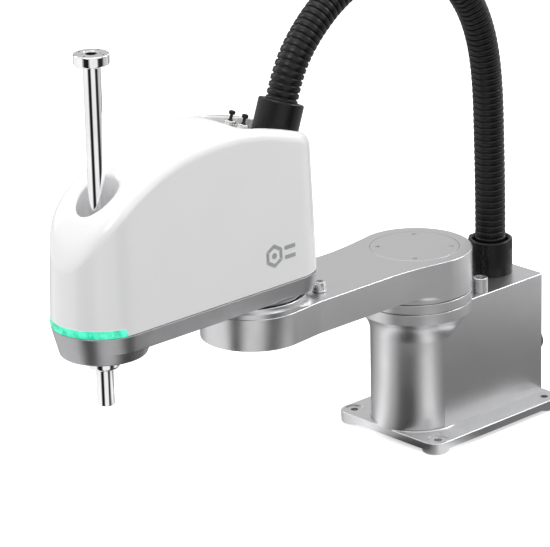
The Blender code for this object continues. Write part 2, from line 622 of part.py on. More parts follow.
def motor_pulleys():
    pulley("z_motor_pulley", MOTOR_SHAFT_R + GAP, Z_SMALL_R, Z_BELT_Z, (-MOTOR_X, MOTOR_Y, 0.0))
    pulley("r_motor_pulley", MOTOR_SHAFT_R + GAP, R_SMALL_R, R_BELT_Z, (MOTOR_X, MOTOR_Y, 0.0))


def spline_pieces():
    place("spline_nut", tube(SHAFT_R + GAP, 15.5, 243.0, R_BELT_Z[0] - 0.9), STEEL, at_axis(QUILL))
    pulley("r_pulley", SHAFT_R + GAP, R_BIG_R, R_BELT_Z, at_axis(QUILL))


def ball_nut_pieces():
    place("ball_screw_nut", tube(SHAFT_R + GAP, 15.5, Z_BELT_Z[1] + 0.9, 344.0), STEEL, at_axis(QUILL))
    pulley("z_pulley", SHAFT_R + GAP, Z_BIG_R, Z_BELT_Z, at_axis(QUILL))


def quill_pieces():
    shaft = [(SHAFT_BORE_R, SHAFT_Z[0]), (SHAFT_R - 1.2, SHAFT_Z[0]), (SHAFT_R, SHAFT_Z[0] + 1.2)]
    shaft += [(SHAFT_R, SHAFT_Z[1] - 0.4), (SHAFT_BORE_R, SHAFT_Z[1] - 0.4)]
    place("quill_shaft", turned(shaft, 28), CHROME, at_axis(QUILL))
    r = SHAFT_R + GAP
    collar = [(r, COLLAR_Z[0]), (COLLAR_R - 2.5, COLLAR_Z[0]), (COLLAR_R, COLLAR_Z[0] + 2.5)]
    collar += [(COLLAR_R, COLLAR_Z[1] - 1.2), (COLLAR_R - 1.2, COLLAR_Z[1]), (r, COLLAR_Z[1])]
    top = place("quill_top_collar", turned(collar, 28), CHROME, at_axis(QUILL))
    for n in range(4):
        a = math.radians(90.0 * n + 20.0)
        where = (15.5 * math.cos(a), QUILL[1] + 15.5 * math.sin(a), 0.0)
        cut(top, f"collar_hole_{n}", disc(1.4, COLLAR_Z[1] - 6.0, 600.0, 12), where)
    low, high = STOP_RING_Z
    ring = [(r, low), (STOP_RING_R - 4.5, low), (STOP_RING_R - 1.4, low + 1.6)]
    ring += [(STOP_RING_R, low + 5.0), (STOP_RING_R, high), (r, high)]
    place("quill_stop_ring", turned(ring, 28), CHROME, at_axis(QUILL))


# ---------------------------------------------------------------- cable duct

def cable_duct():
    curve = bpy.data.curves.new("cable_duct", "CURVE")
    curve.dimensions = "3D"
    curve.bevel_depth = DUCT_R * MM
    curve.bevel_resolution = 4
    curve.use_fill_caps = True
    curve.resolution_u = 1
    route = smooth_route(DUCT_ROUTE, 2)
    spline = curve.splines.new("POLY")
    spline.points.add(len(route) - 1)
    for point, (y, z) in zip(spline.points, route):
        point.co = (0.0, y * MM, z * MM, 1.0)
    curve.materials.append(BLACK)
    made = bpy.data.objects.new("cable_duct", curve)
    ROBOT.objects.link(made)


def smooth_route(points, steps):
    """A Catmull-Rom line through the points."""
    made = []
    for i in range(len(points) - 1):
        p0, p1 = points[max(i - 1, 0)], points[i]
        p2, p3 = points[i + 1], points[min(i + 2, len(points) - 1)]
        for k in range(steps):
            t = k / steps
            a, b = -t + 2 * t**2 - t**3, 2 - 5 * t**2 + 3 * t**3
            c, d = t + 4 * t**2 - 3 * t**3, t**3 - t**2
            parts = zip(p0, p1, p2, p3)
            made.append(tuple((a * w + b * x + c * y + d * z) / 2 for w, x, y, z in parts))
    return made + [points[-1]]


def arm2_pieces():
    status_light()
    collar = [(20.0, GAP), (27.4, GAP), (27.4, 46.0), (25.9, 47.5), (20.0, 47.5)]
    place("arm2_duct_collar", turned(collar, 28), BLACK, duct_seat(), -POCKET_TILT)
    fitting("air_fitting_left", "air_plug_left", -11.0)
    fitting("air_fitting_right", "air_plug_right", 11.0)


def on_pivot(name, axis, z, *makers):
    """Makes pieces and hangs them on an empty that stands on their joint's axis."""
    before = set(ROBOT.objects)
    for make in makers:
        make()
    empty = bpy.data.objects.new(name, None)
    empty.location = Vector(at_axis(axis, z)) * MM
    for made in list(ROBOT.objects):
        if made not in before:
            made.parent = empty
            made.matrix_parent_inverse = Matrix.Translation(-empty.location)
    ROBOT.objects.link(empty)


base_casting()
base_pieces()
on_pivot("arm1_pivot", J1, DRUM1_BOTTOM, arm1_casting, arm1_pieces, cable_duct)
on_pivot("arm2_pivot", J2, ARM2_BOTTOM, arm2_casting, arm2_cover, arm2_pieces, drive_frame)
motor_pulleys()
on_pivot("spline_pivot", QUILL, R_BELT_Z[0], spline_pieces)
on_pivot("ball_nut_pivot", QUILL, Z_BELT_Z[0], ball_nut_pieces)
on_pivot("quill_pivot", QUILL, SHAFT_Z[0], quill_pieces)
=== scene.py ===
"""Looks of the SCARA robot arm: fine shells, castings, corrugated duct, ground quill and materials."""

import json
import math

import bmesh
import bpy
from mathutils import Matrix, Vector
from mathutils.bvhtree import BVHTree


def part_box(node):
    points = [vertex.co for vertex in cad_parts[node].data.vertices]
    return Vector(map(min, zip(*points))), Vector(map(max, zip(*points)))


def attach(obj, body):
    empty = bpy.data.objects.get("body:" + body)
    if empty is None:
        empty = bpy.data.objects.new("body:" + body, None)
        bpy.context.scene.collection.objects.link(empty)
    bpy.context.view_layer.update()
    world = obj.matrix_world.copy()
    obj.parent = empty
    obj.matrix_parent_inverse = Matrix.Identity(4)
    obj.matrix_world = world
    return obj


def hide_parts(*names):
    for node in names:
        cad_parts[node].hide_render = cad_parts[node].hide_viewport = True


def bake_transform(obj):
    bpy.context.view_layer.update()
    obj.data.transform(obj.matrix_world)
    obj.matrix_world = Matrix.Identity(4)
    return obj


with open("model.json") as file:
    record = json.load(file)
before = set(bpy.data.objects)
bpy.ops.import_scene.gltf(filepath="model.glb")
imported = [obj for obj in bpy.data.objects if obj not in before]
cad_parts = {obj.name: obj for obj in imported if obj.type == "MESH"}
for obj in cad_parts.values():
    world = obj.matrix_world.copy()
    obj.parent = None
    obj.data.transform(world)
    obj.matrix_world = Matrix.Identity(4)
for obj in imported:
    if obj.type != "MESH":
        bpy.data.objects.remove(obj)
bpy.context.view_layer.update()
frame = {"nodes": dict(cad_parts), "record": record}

MM = 0.001
JOINTS = {joint["name"]: joint for joint in frame["record"]["behaviour"]["joints"]}


# ---------------------------------------------------------------- camera and studio

CAMERA_AT = (2.5873, -2.6280, 1.5179)
CAMERA_AZIMUTH, CAMERA_ELEVATION, CAMERA_ROLL = 47.228, 19.573, -1.373
CAMERA_LENS = 207.71
SKY_STRENGTH, SKY_TOP = 0.85, 1.25
FLOOR_STRENGTH, FLOOR_GLOW, FLOOR_LEVEL, FLOOR_SIZE = 0.95, 0.50, -0.0006, 14.0
LIGHTS_AIM = (0.0, -0.2, 0.3)
LIGHTS = (  # name, place, width and height, power
    ("key", (0.6, -2.6, 2.6), (1.4, 1.2), 22.0),
    ("left", (-2.6, -1.2, 1.8), (0.8, 1.8), 14.0),
    ("top", (-0.3, -0.1, 2.8), (1.8, 1.8), 15.0),
    ("back", (-0.6, 2.8, 1.6), (1.6, 1.2), 10.0),
    ("edge", (1.0, 1.9, 2.1), (0.9, 0.9), 26.0),
    ("side", (2.7, 0.2, 1.3), (1.4, 1.4), 7.5),
)


def placed(name, data):
    """A new object in the scene."""
    made = bpy.data.objects.new(name, data)
    bpy.context.scene.collection.objects.link(made)
    return made


def camera():
    data = bpy.data.cameras.new("camera")
    data.sensor_width = 36.0
    data.lens = CAMERA_LENS
    made = placed("camera", data)
    turn = Matrix.Rotation(math.radians(CAMERA_AZIMUTH), 4, "Z")
    turn = turn @ Matrix.Rotation(math.radians(90.0 - CAMERA_ELEVATION), 4, "X")
    turn = turn @ Matrix.Rotation(math.radians(CAMERA_ROLL), 4, "Z")
    made.matrix_world = Matrix.Translation(CAMERA_AT) @ turn
    data.clip_end = 100.0
    bpy.context.scene.camera = made


def area_light(name, at, size, power):
    data = bpy.data.lights.new(name, "AREA")
    data.shape = "RECTANGLE"
    data.size, data.size_y = size
    data.energy = power
    made = placed(name, data)
    made.location = at
    made.rotation_euler = (Vector(LIGHTS_AIM) - Vector(at)).to_track_quat("-Z", "Y").to_euler()


# How bright the room is in mirrors, as (azimuth in degrees, level): dark flags between soft boxes.
ROOM_WALLS = (
    (-180, 0.50), (-133, 0.70), (-96, 0.40), (-60, 0.80), (-36, 1.15), (-12, 0.85), (-4, 0.15), (22, 0.10),
    (34, 0.50), (45, 0.95), (72, 1.05), (90, 0.30), (112, 0.20), (133, 0.50), (153, 0.75), (180, 0.50),
)
# The floor in mirrors, by the azimuth of a place about the base, and farther out about the quill.
FLOOR_NEAR = (
    (-180, 0.30), (-133, 0.30), (-96, 0.20), (-64, 0.60), (-34, 1.30), (-6, 0.50), (12, 0.08), (38, 0.02),
    (54, 0.40), (66, 1.05), (80, 1.10), (96, 0.45), (112, 0.20), (140, 0.24), (180, 0.30),
)
FLOOR_FAR = (
    (-180, 0.75), (-150, 0.60), (-133, 0.30), (-112, 0.40), (-85, 1.05), (-14, 1.10), (-2, 0.35), (4, 0.02),
    (29, 0.01), (35, 0.40), (42, 1.00), (84, 1.00), (91, 0.25), (96, 0.03), (121, 0.03), (129, 0.40),
    (136, 0.62), (152, 0.62), (168, 0.82), (180, 0.75),
)
# Where FLOOR_FAR is centred, how far out it takes over, and how high the sky's top begins.
FLOOR_FAR_CENTRE, FLOOR_CHANGE, SKY_RISE = (0.0, 0.5, 0.0), (0.42, 0.62), (0.35, 0.85)


def room_brightness(tree, place, curve):
    """A curve's level at the azimuth of a direction or place, and the place's height."""
    split = tree.nodes.new("ShaderNodeSeparateXYZ")
    tree.links.new(place, split.inputs["Vector"])
    front = tree.nodes.new("ShaderNodeMath")
    front.operation = "MULTIPLY"
    tree.links.new(split.outputs["Y"], front.inputs[0])
    front.inputs[1].default_value = -1.0
    azimuth = tree.nodes.new("ShaderNodeMath")
    azimuth.operation = "ARCTAN2"
    tree.links.new(split.outputs["X"], azimuth.inputs[0])
    tree.links.new(front.outputs["Value"], azimuth.inputs[1])
    ramp = tree.nodes.new("ShaderNodeValToRGB")
    ramp.color_ramp.interpolation = "EASE"
    points = ramp.color_ramp.elements
    while len(points) > 1:
        points.remove(points[-1])
    for n, (angle, level) in enumerate(curve):
        point = points[0] if n == 0 else points.new((angle + 180.0) / 360.0)
        point.position = (angle + 180.0) / 360.0
        point.color = (level, level, level, 1.0)
    share = spread(tree, azimuth.outputs["Value"], -math.pi, math.pi, 0.0, 1.0)
    tree.links.new(share, ramp.inputs["Fac"])
    return ramp.outputs["Color"], split.outputs["Z"]


def camera_or_room(tree, plain, room, surface):
    """Shows one shader to the camera and the other, the room's, to every other ray."""
    mix = tree.nodes.new("ShaderNodeMixShader")
    rays = tree.nodes.new("ShaderNodeLightPath")
    tree.links.new(rays.outputs["Is Camera Ray"], mix.inputs["Fac"])
    tree.links.new(room, mix.inputs[1])
    tree.links.new(plain, mix.inputs[2])
    tree.links.new(mix.outputs["Shader"], surface)


def sky():
    """White to the camera, and the room's soft boxes and flags to every other ray."""
    world = bpy.data.worlds.new("studio")
    bpy.context.scene.world = world
    world.use_nodes = True
    tree = world.node_tree
    seen = tree.nodes["Background"]
    where = tree.nodes.new("ShaderNodeTexCoord")
    sides, height = room_brightness(tree, where.outputs["Generated"], ROOM_WALLS)
    overhead = tree.nodes.new("ShaderNodeMix")
    overhead.data_type = "RGBA"
    tree.links.new(spread(tree, height, *SKY_RISE, 0.0, 1.0), overhead.inputs["Factor"])
    tree.links.new(sides, overhead.inputs["A"])
    overhead.inputs["B"].default_value = (SKY_TOP, SKY_TOP, SKY_TOP, 1.0)
    tree.links.new(overhead.outputs["Result"], seen.inputs["Color"])
    seen.inputs["Strength"].default_value = SKY_STRENGTH
    white = tree.nodes.new("ShaderNodeBackground")
    white.inputs["Color"].default_value = (1.0, 1.0, 1.0, 1.0)
    surface = tree.nodes["World Output"].inputs["Surface"]
    camera_or_room(tree, white.outputs["Background"], seen.outputs["Background"], surface)


def floor():
    """A pale floor to the camera, and the floor curves' brightness to every other ray."""
    bm = bmesh.new()
    bmesh.ops.create_grid(bm, x_segments=1, y_segments=1, size=FLOOR_SIZE)
    made = object_from("floor", bm)
    made.location.z = FLOOR_LEVEL
    tree, shader = new_material("pale_floor")
    set_inputs(shader, {"Base Color": (0.90, 0.90, 0.90, 1.0), "Roughness": 0.8})
    set_inputs(shader, {"Emission Color": (1.0, 1.0, 1.0, 1.0), "Emission Strength": FLOOR_GLOW})
    where = tree.nodes.new("ShaderNodeTexCoord")
    near, _ = room_brightness(tree, where.outputs["Object"], FLOOR_NEAR)
    about_quill = tree.nodes.new("ShaderNodeMapping")
    about_quill.inputs["Location"].default_value = FLOOR_FAR_CENTRE
    tree.links.new(where.outputs["Object"], about_quill.inputs["Vector"])
    far, _ = room_brightness(tree, about_quill.outputs["Vector"], FLOOR_FAR)
    reach = tree.nodes.new("ShaderNodeVectorMath")
    reach.operation = "LENGTH"
    tree.links.new(where.outputs["Object"], reach.inputs[0])
    level = tree.nodes.new("ShaderNodeMix")
    level.data_type = "RGBA"
    tree.links.new(spread(tree, reach.outputs["Value"], *FLOOR_CHANGE, 0.0, 1.0), level.inputs["Factor"])
    tree.links.new(near, level.inputs["A"])
    tree.links.new(far, level.inputs["B"])
    mirrored = tree.nodes.new("ShaderNodeEmission")
    tree.links.new(level.outputs["Result"], mirrored.inputs["Color"])
    mirrored.inputs["Strength"].default_value = FLOOR_STRENGTH
    surface = tree.nodes["Material Output"].inputs["Surface"]
    camera_or_room(tree, shader.outputs["BSDF"], mirrored.outputs["Emission"], surface)
    made.data.materials.append(bpy.data.materials["pale_floor"])


def studio():
    scene = bpy.context.scene
    scene.view_settings.view_transform = "Standard"
    scene.view_settings.look = "None"
    for light in LIGHTS:
        area_light(*light)
    sky()
    floor()


# ---------------------------------------------------------------- material helpers

def new_material(name):
    made = bpy.data.materials.new(name)
    made.use_nodes = True
    return made.node_tree, made.node_tree.nodes["Principled BSDF"]


def set_inputs(node, values):
    for name, value in values.items():
        node.inputs[name].default_value = value


def noise(tree, scale, detail=4.0, roughness=0.5, stretch=(1.0, 1.0, 1.0)):
    """A noise texture in object space, with features about 1 / scale metres across."""
    where = tree.nodes.new("ShaderNodeTexCoord")
    mapping = tree.nodes.new("ShaderNodeMapping")
    mapping.inputs["Scale"].default_value = stretch
    tree.links.new(where.outputs["Object"], mapping.inputs["Vector"])
    made = tree.nodes.new("ShaderNodeTexNoise")
    set_inputs(made, {"Scale": scale, "Detail": detail, "Roughness": roughness})
    tree.links.new(mapping.outputs["Vector"], made.inputs["Vector"])
    return made.outputs["Fac"]


def spread(tree, source, low, high, out_low, out_high):
    """A value remapped from one range to another."""
    made = tree.nodes.new("ShaderNodeMapRange")
    set_inputs(made, {"From Min": low, "From Max": high, "To Min": out_low, "To Max": out_high})
    tree.links.new(source, made.inputs["Value"])
    return made.outputs["Result"]


def mixed(tree, share, one, two):
    """A colour between two colours by a share."""
    made = tree.nodes.new("ShaderNodeMix")
    made.data_type = "RGBA"
    made.inputs["A"].default_value = (*one, 1.0)
    made.inputs["B"].default_value = (*two, 1.0)
    tree.links.new(share, made.inputs["Factor"])
    return made.outputs["Result"]


def clouded(tree, cloud, low, high, one, two):
    """A colour that drifts between two where a noise rises from low to high."""
    return mixed(tree, spread(tree, cloud, low, high, 0.0, 1.0), one, two)


def bump(tree, shader, height, strength, distance):
    made = tree.nodes.new("ShaderNodeBump")
    set_inputs(made, {"Strength": strength, "Distance": distance})
    tree.links.new(height, made.inputs["Height"])
    tree.links.new(made.outputs["Normal"], shader.inputs["Normal"])


def cast_metal(name, light, dark, rough):
    """Blasted and clear-anodised casting: fine grain, cloudy roughness."""
    tree, shader = new_material(name)
    cloud = noise(tree, 26.0, 5.0, 0.6)
    tree.links.new(clouded(tree, cloud, 0.3, 0.7, light, dark), shader.inputs["Base Color"])
    grain = noise(tree, 1900.0, 3.0, 0.6)
    speck = tree.nodes.new("ShaderNodeMath")
    speck.operation = "MULTIPLY_ADD"
    tree.links.new(grain, speck.inputs[0])
    speck.inputs[1].default_value = 0.10
    tree.links.new(spread(tree, cloud, 0.3, 0.7, rough - 0.04, rough + 0.03), speck.inputs[2])
    tree.links.new(speck.outputs["Value"], shader.inputs["Roughness"])
    shader.inputs["Metallic"].default_value = 1.0
    bump(tree, shader, grain, 0.22, 0.00012)
    return bpy.data.materials[name]


def machined_metal(name, colour, rough, stretch=(1.0, 1.0, 1.0), scale=2400.0, strength=0.10):
    """Turned or ground metal: fine tool lines along one direction."""
    tree, shader = new_material(name)
    lines = noise(tree, scale, 2.0, 0.5, stretch)
    patch = noise(tree, 40.0, 3.0)
    darker = tuple(c * 0.90 for c in colour)
    tree.links.new(clouded(tree, patch, 0.35, 0.65, colour, darker), shader.inputs["Base Color"])
    tree.links.new(spread(tree, lines, 0.3, 0.7, rough * 0.75, rough * 1.3), shader.inputs["Roughness"])
    shader.inputs["Metallic"].default_value = 1.0
    bump(tree, shader, lines, strength, 0.00005)
    return bpy.data.materials[name]


def moulded(name, colour, rough, grain=900.0, strength=0.12, coat=0.0, shade=0.86, gloss=0.5):
    """Moulded plastic or paint: faint cloudiness, fine texture, an optional gloss coat."""
    tree, shader = new_material(name)
    cloud = noise(tree, 14.0, 4.0)
    darker = tuple(c * shade for c in colour)
    tree.links.new(clouded(tree, cloud, 0.35, 0.65, colour, darker), shader.inputs["Base Color"])
    texture = noise(tree, grain, 3.0, 0.55)
    tree.links.new(spread(tree, texture, 0.3, 0.7, rough * 0.85, rough * 1.2), shader.inputs["Roughness"])
    set_inputs(shader, {"Specular IOR Level": gloss, "Coat Weight": coat, "Coat Roughness": 0.06})
    bump(tree, shader, texture, strength, 0.00008)
    return bpy.data.materials[name]


def lit_lens(name, dim, bright):
    """Mint-green diffuser lit from inside, brighter in patches where the lamps sit."""
    tree, shader = new_material(name)
    cloud = noise(tree, 75.0, 2.0)
    colour = clouded(tree, cloud, 0.35, 0.65, (0.02, 0.62, 0.36), (0.10, 0.85, 0.55))
    tree.links.new(colour, shader.inputs["Base Color"])
    tree.links.new(colour, shader.inputs["Emission Color"])
    tree.links.new(spread(tree, cloud, 0.3, 0.7, dim, bright), shader.inputs["Emission Strength"])
    tree.links.new(spread(tree, noise(tree, 1200.0), 0.3, 0.7, 0.2, 0.34), shader.inputs["Roughness"])
    return bpy.data.materials[name]


def circuit(name):
    """Solder mask with fine tracks."""
    tree, shader = new_material(name)
    where = tree.nodes.new("ShaderNodeTexCoord")
    cells = tree.nodes.new("ShaderNodeTexVoronoi")
    cells.feature = "DISTANCE_TO_EDGE"
    cells.inputs["Scale"].default_value = 320.0
    tree.links.new(where.outputs["Object"], cells.inputs["Vector"])
    track = spread(tree, cells.outputs["Distance"], 0.04, 0.08, 1.0, 0.0)
    tree.links.new(mixed(tree, track, (0.015, 0.16, 0.07), (0.05, 0.34, 0.16)), shader.inputs["Base Color"])
    tree.links.new(spread(tree, noise(tree, 600.0), 0.3, 0.7, 0.3, 0.5), shader.inputs["Roughness"])
    return bpy.data.materials[name]


CAST = cast_metal("fine_cast_aluminium", (0.69, 0.69, 0.70), (0.65, 0.65, 0.66), 0.28)
CAST_DARK = cast_metal("fine_arm2_aluminium", (0.46, 0.46, 0.47), (0.41, 0.41, 0.42), 0.30)
CHROME = machined_metal("ground_shaft", (0.93, 0.93, 0.94), 0.035, (1.0, 1.0, 14.0), 900.0, 0.012)
STEEL = machined_metal("turned_steel", (0.74, 0.74, 0.75), 0.32)
ZINC = machined_metal("plated_fitting", (0.82, 0.81, 0.79), 0.15)
SHELL = moulded("gloss_shell", (0.86, 0.86, 0.865), 0.24, 1500.0, 0.02, coat=0.6, shade=0.985)
MARK = moulded("grey_badge", (0.42, 0.43, 0.44), 0.30, 600.0, 0.06)
NYLON = moulded("satin_nylon", (0.004, 0.004, 0.0045), 0.30, 1100.0, 0.08, gloss=0.33)
# Near-black matte used as painted shade: laid into recesses, gaps and the quill's bore where they fall dark.
RECESS_SHADE = moulded("dark_recess", (0.006, 0.006, 0.007), 0.7, 900.0, 0.10)
RUBBER = moulded("belt_rubber", (0.02, 0.02, 0.02), 0.78, 1500.0, 0.3)
PAINT = moulded("motor_paint", (0.05, 0.05, 0.055), 0.45, 1300.0, 0.25)
CASE = moulded("battery_moulding", (0.72, 0.71, 0.65), 0.5, 900.0, 0.2)
LENS = lit_lens("lit_diffuser", 0.22, 0.52)
LAMP = lit_lens("lit_lamp", 0.9, 1.3)
BOARD = circuit("solder_mask")

NODE_LOOKS = {
    "cast_aluminium": CAST, "arm2_aluminium": CAST_DARK, "white_shell": SHELL, "ground_chrome": CHROME,
    "bright_steel": STEEL, "black_nylon": NYLON, "black_rubber": RUBBER, "green_lens": LENS,
    "motor_black": PAINT, "plated_brass": ZINC, "circuit_board": BOARD, "battery_case": CASE,
}


# ---------------------------------------------------------------- mesh helpers

SHARP_ANGLE = 35.0


def object_from(name, bm, look=None, smooth=SHARP_ANGLE):
    """An object from a bmesh, shaded smooth but for edges sharper than an angle in degrees."""
    mesh = bpy.data.meshes.new(name)
    bmesh.ops.recalc_face_normals(bm, faces=bm.faces)
    bm.to_mesh(mesh)
    bm.free()
    mesh.shade_smooth()
    mesh.set_sharp_from_angle(angle=math.radians(smooth))
    made = placed(name, mesh)
    if look:
        mesh.materials.append(look)
    return made


def piece(made, body, slot, *nodes):
    """Says which body a piece rides on and the nodes that it stands for; its material slot is not used."""
    even = made.modifiers.new("even_shading", "WEIGHTED_NORMAL")
    even.keep_sharp = True
    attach(made, body)
    if nodes:
        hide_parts(*nodes)


def rounded(corners, steps=6):
    """A closed line through (a, b, radius) corners, with each corner turned into an arc."""
    made = []
    count = len(corners)
    for i, (a, b, radius) in enumerate(corners):
        if radius <= 0.0:
            made.append((a, b))
            continue
        here = Vector((a, b))
        before = (Vector(corners[i - 1][:2]) - here).normalized()
        after = (Vector(corners[(i + 1) % count][:2]) - here).normalized()
        half = before.angle(after) / 2.0
        centre = here + (before + after).normalized() * (radius / math.sin(half))
        start = here + before * (radius / math.tan(half)) - centre
        sweep = start.angle_signed(here + after * (radius / math.tan(half)) - centre)
        for k in range(steps + 1):
            turned = Matrix.Rotation(-sweep * k / steps, 2) @ start
            made.append(tuple(centre + turned))
    return made


def disc_profile(r, low, high, low_edge, high_edge, inner=0.0, steps=6):
    """A closed lathe line for an upright disc or ring with rounded outer edges."""
    corners = [(inner, low, 0.0), (r, low, low_edge), (r, high, high_edge), (inner, high, 0.0)]
    return rounded(corners, steps)


def lathe(name, profile, at, look, segments=128, tilt=0.0):
    """Turns a closed line of (radius, z) millimetres about the vertical through a point."""
    bm = bmesh.new()
    columns = []
    for r, z in profile:
        if r < 0.001:
            columns.append([bm.verts.new((0.0, 0.0, z * MM))] * segments)
            continue
        angles = (2.0 * math.pi * k / segments for k in range(segments))
        columns.append([bm.verts.new((r * math.cos(a) * MM, r * math.sin(a) * MM, z * MM)) for a in angles])
    for one, two in zip(columns, columns[1:] + columns[:1]):
        for k in range(segments):
            j = (k + 1) % segments
            corners = list(dict.fromkeys((one[k], one[j], two[j], two[k])))
            if len(corners) > 2:
                bm.faces.new(corners)
    place = Matrix.Translation(Vector(at) * MM) @ Matrix.Rotation(tilt, 4, "X")
    bmesh.ops.transform(bm, matrix=place, verts=bm.verts)
    return object_from(name, bm, look)


def skin(rings, caps=True):
    """A bmesh through rings of points in millimetres."""
    bm = bmesh.new()
    rows = [[bm.verts.new(Vector(p) * MM) for p in ring] for ring in rings]
    for low, high in zip(rows, rows[1:]):
        for i in range(len(low)):
            j = (i + 1) % len(low)
            bm.faces.new((low[i], low[j], high[j], high[i]))
    if caps:
        bm.faces.new(rows[0])
        bm.faces.new(rows[-1])
    return bm


def inwards(outline, distance):
    """A closed outline moved inwards, point by point, along its own normals."""
    made = []
    count = len(outline)
    pairs = zip(outline, outline[1:] + outline[:1])
    side = math.copysign(1.0, sum(x0 * y1 - x1 * y0 for (x0, y0), (x1, y1) in pairs))
    for i, (x, y) in enumerate(outline):
        (ax, ay), (bx, by) = outline[i - 1], outline[(i + 1) % count]
        tx, ty = bx - ax, by - ay
        size = math.hypot(tx, ty) or 1.0
        made.append((x - side * ty / size * distance, y + side * tx / size * distance))
    return made


def slab(name, outline, z0, z1, look, top=1.0, bottom=1.0, steps=4):
    """A plate with a plan outline whose upper and lower edges are rounded."""
    turns = [math.pi / 2 * k / steps for k in range(steps + 1)]
    levels = [(bottom * (1.0 - math.sin(a)), z0 + bottom * (1.0 - math.cos(a))) for a in turns]
    levels += [(top * (1.0 - math.cos(a)), z1 - top * (1.0 - math.sin(a))) for a in turns]
    rings = [[(x, y, z) for x, y in inwards(outline, inset)] for inset, z in levels]
    return object_from(name, skin(rings), look)


def arc(cx, cy, r, start, end, steps):
    """Points on a circle from a start angle to an end angle, in degrees."""
    turns = (math.radians(start + (end - start) * k / steps) for k in range(steps + 1))
    return [(cx + r * math.cos(a), cy + r * math.sin(a)) for a in turns]


def nut_outline(r, turn=0.0):
    angles = [math.radians(60.0 * k + turn) for k in range(6)]
    return [(r * math.cos(a), r * math.sin(a)) for a in angles]


def eased(row, times):
    """A row of numbers or points, each drawn towards its neighbours, with its ends kept."""
    for _ in range(times):
        inner = [(a + 2 * b + c) / 4 for a, b, c in zip(row, row[1:], row[2:])]
        row = [row[0]] + inner + [row[-1]]
    return row


def cut(target, tools, operation="DIFFERENCE"):
    """Cuts tools out of a piece, or keeps only what is inside them, and removes them."""
    for tool in tools:
        modifier = target.modifiers.new(tool.name, "BOOLEAN")
        modifier.operation = operation
        modifier.solver = "EXACT"
        modifier.object = tool
    graph = bpy.context.evaluated_depsgraph_get()
    mesh = bpy.data.meshes.new_from_object(target.evaluated_get(graph))
    target.modifiers.clear()
    target.data = mesh
    mesh.shade_smooth()
    mesh.set_sharp_from_angle(angle=math.radians(SHARP_ANGLE))
    for tool in tools:
        bpy.data.objects.remove(tool, do_unlink=True)
    return target


def join(*parts):
    """One object from several, which keeps the first one's name."""
    bm = bmesh.new()
    looks = []
    for part in parts:
        start = len(bm.faces)
        bm.from_mesh(part.data)
        bm.faces.ensure_lookup_table()
        for face in bm.faces[start:]:
            look = part.data.materials[face.material_index]
            if look not in looks:
                looks.append(look)
            face.material_index = looks.index(look)
    first = parts[0]
    mesh = bpy.data.meshes.new(first.name)
    bm.to_mesh(mesh)
    bm.free()
    for look in looks:
        mesh.materials.append(look)
    first.data = mesh
    for part in parts[1:]:
        bpy.data.objects.remove(part, do_unlink=True)
    return first


# ---------------------------------------------------------------- places, in millimetres

LOW = {name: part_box(name)[0] / MM for name in frame["nodes"]}
HIGH = {name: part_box(name)[1] / MM for name in frame["nodes"]}
J2 = (0.0, JOINTS["j2_swing"]["pos_m"][1] / MM, 0.0)
QUILL = (0.0, JOINTS["quill_turn"]["pos_m"][1] / MM, 0.0)

PLATE_X, PLATE_FRONT, PLATE_REAR = HIGH["base_casting"].x, -55.0, 177.5
PLATE_Z, CORNER_R = (5.0, 15.0), 17.0
FOOT_TOP, PAD_R, PAD_TOP = 6.5, 30.0, 6.0
BOLT_R, BOLT_SPOT_R = 4.7, 12.4
BOLTS = [(x, y) for x in (-73.0, 73.0) for y in (-36.0, 158.0)]
COLUMN_R, RING_R, BLOCK_TOP = 56.0, 71.0, LOW["j1_stop_post_left"].z - 0.3
RING_TOP = HIGH["base_casting"].z
REAR_BLOCK_BACK, ROOM_HALF = 174.2, 50.6
TO_REAR = -math.pi / 2  # tilts a lathed piece so that it points to the rear

BEAM_Z = (200.0, HIGH["j1_cap"].z)
BEAM_HALF, HUB_R, PEDESTAL_R = 58.8, 64.0, 62.0
PEDESTAL_TOP, DRUM_BOTTOM = HIGH["arm1_casting"].z, LOW["arm1_casting"].z
PEDESTAL_FOOT, CAP_R = 12.0, 55.0

HALF = HIGH["arm2_cover"].x
REAR_SPINE, REAR_CORNER, REAR_FLAT = J2[1] + 26.0, 50.0, 9.0
STRIP_Z, CONE_R = (255.0, HIGH["arm2_casting"].z), 50.0
COVER_BOTTOM, COVER_DRAFT, COVER_EDGE = LOW["arm2_cover"].z, 0.036, 13.5
POCKET_TILT, POCKET_MIDDLE = math.radians(19.5), (0.0, -262.0, 438.8)
POCKET_HALF, POCKET_FRONT, POCKET_REAR = 37.0, -315.8, -206.8
CUP_R, CUP_FLOOR, CUP_HOLE_R = 24.0, 386.0, 11.6
BADGE_Y, BADGE_Z, BADGE_R, BADGE_BAR = -288.0, 314.0, 14.0, 4.6
LIGHT_SWEEP, LIGHT_END = math.radians(79.0), 8.0
COLLAR_SEAT = (0.0, -233.4, 428.7)
FITTING_X, FITTING_FORWARD = 11.0, 33.0
CROWN = (
    (-562, 352), (-549, 375), (-536, 396), (-521, 412), (-500, 428), (-480, 440), (-449, 454.5),
    (-409, 465.5), (-368, 470), (-327, 470), (-292, 465), (-258, 456), (-228, 446.5), (-192, 432.5),
)
DUCT_ROUTE = (
    (-224.6, 454.5), (-218.6, 471.0), (-211.0, 492.0), (-201.0, 513.0), (-187.0, 533.5),
    (-164.0, 557.0), (-134.0, 579.0), (-96.0, 597.0), (-52.0, 607.0), (-8.0, 605.0),
    (34.0, 590.0), (70.0, 563.0), (98.0, 528.0), (115.5, 492.0), (126.0, 452.0),
    (131.5, 404.0), (133.8, 345.0), (135.5, 285.0), (136.0, 230.0), (136.0, 180.0),
)
DUCT_R, DUCT_PITCH, DUCT_GROOVE = 19.2, 8.1, 2.0
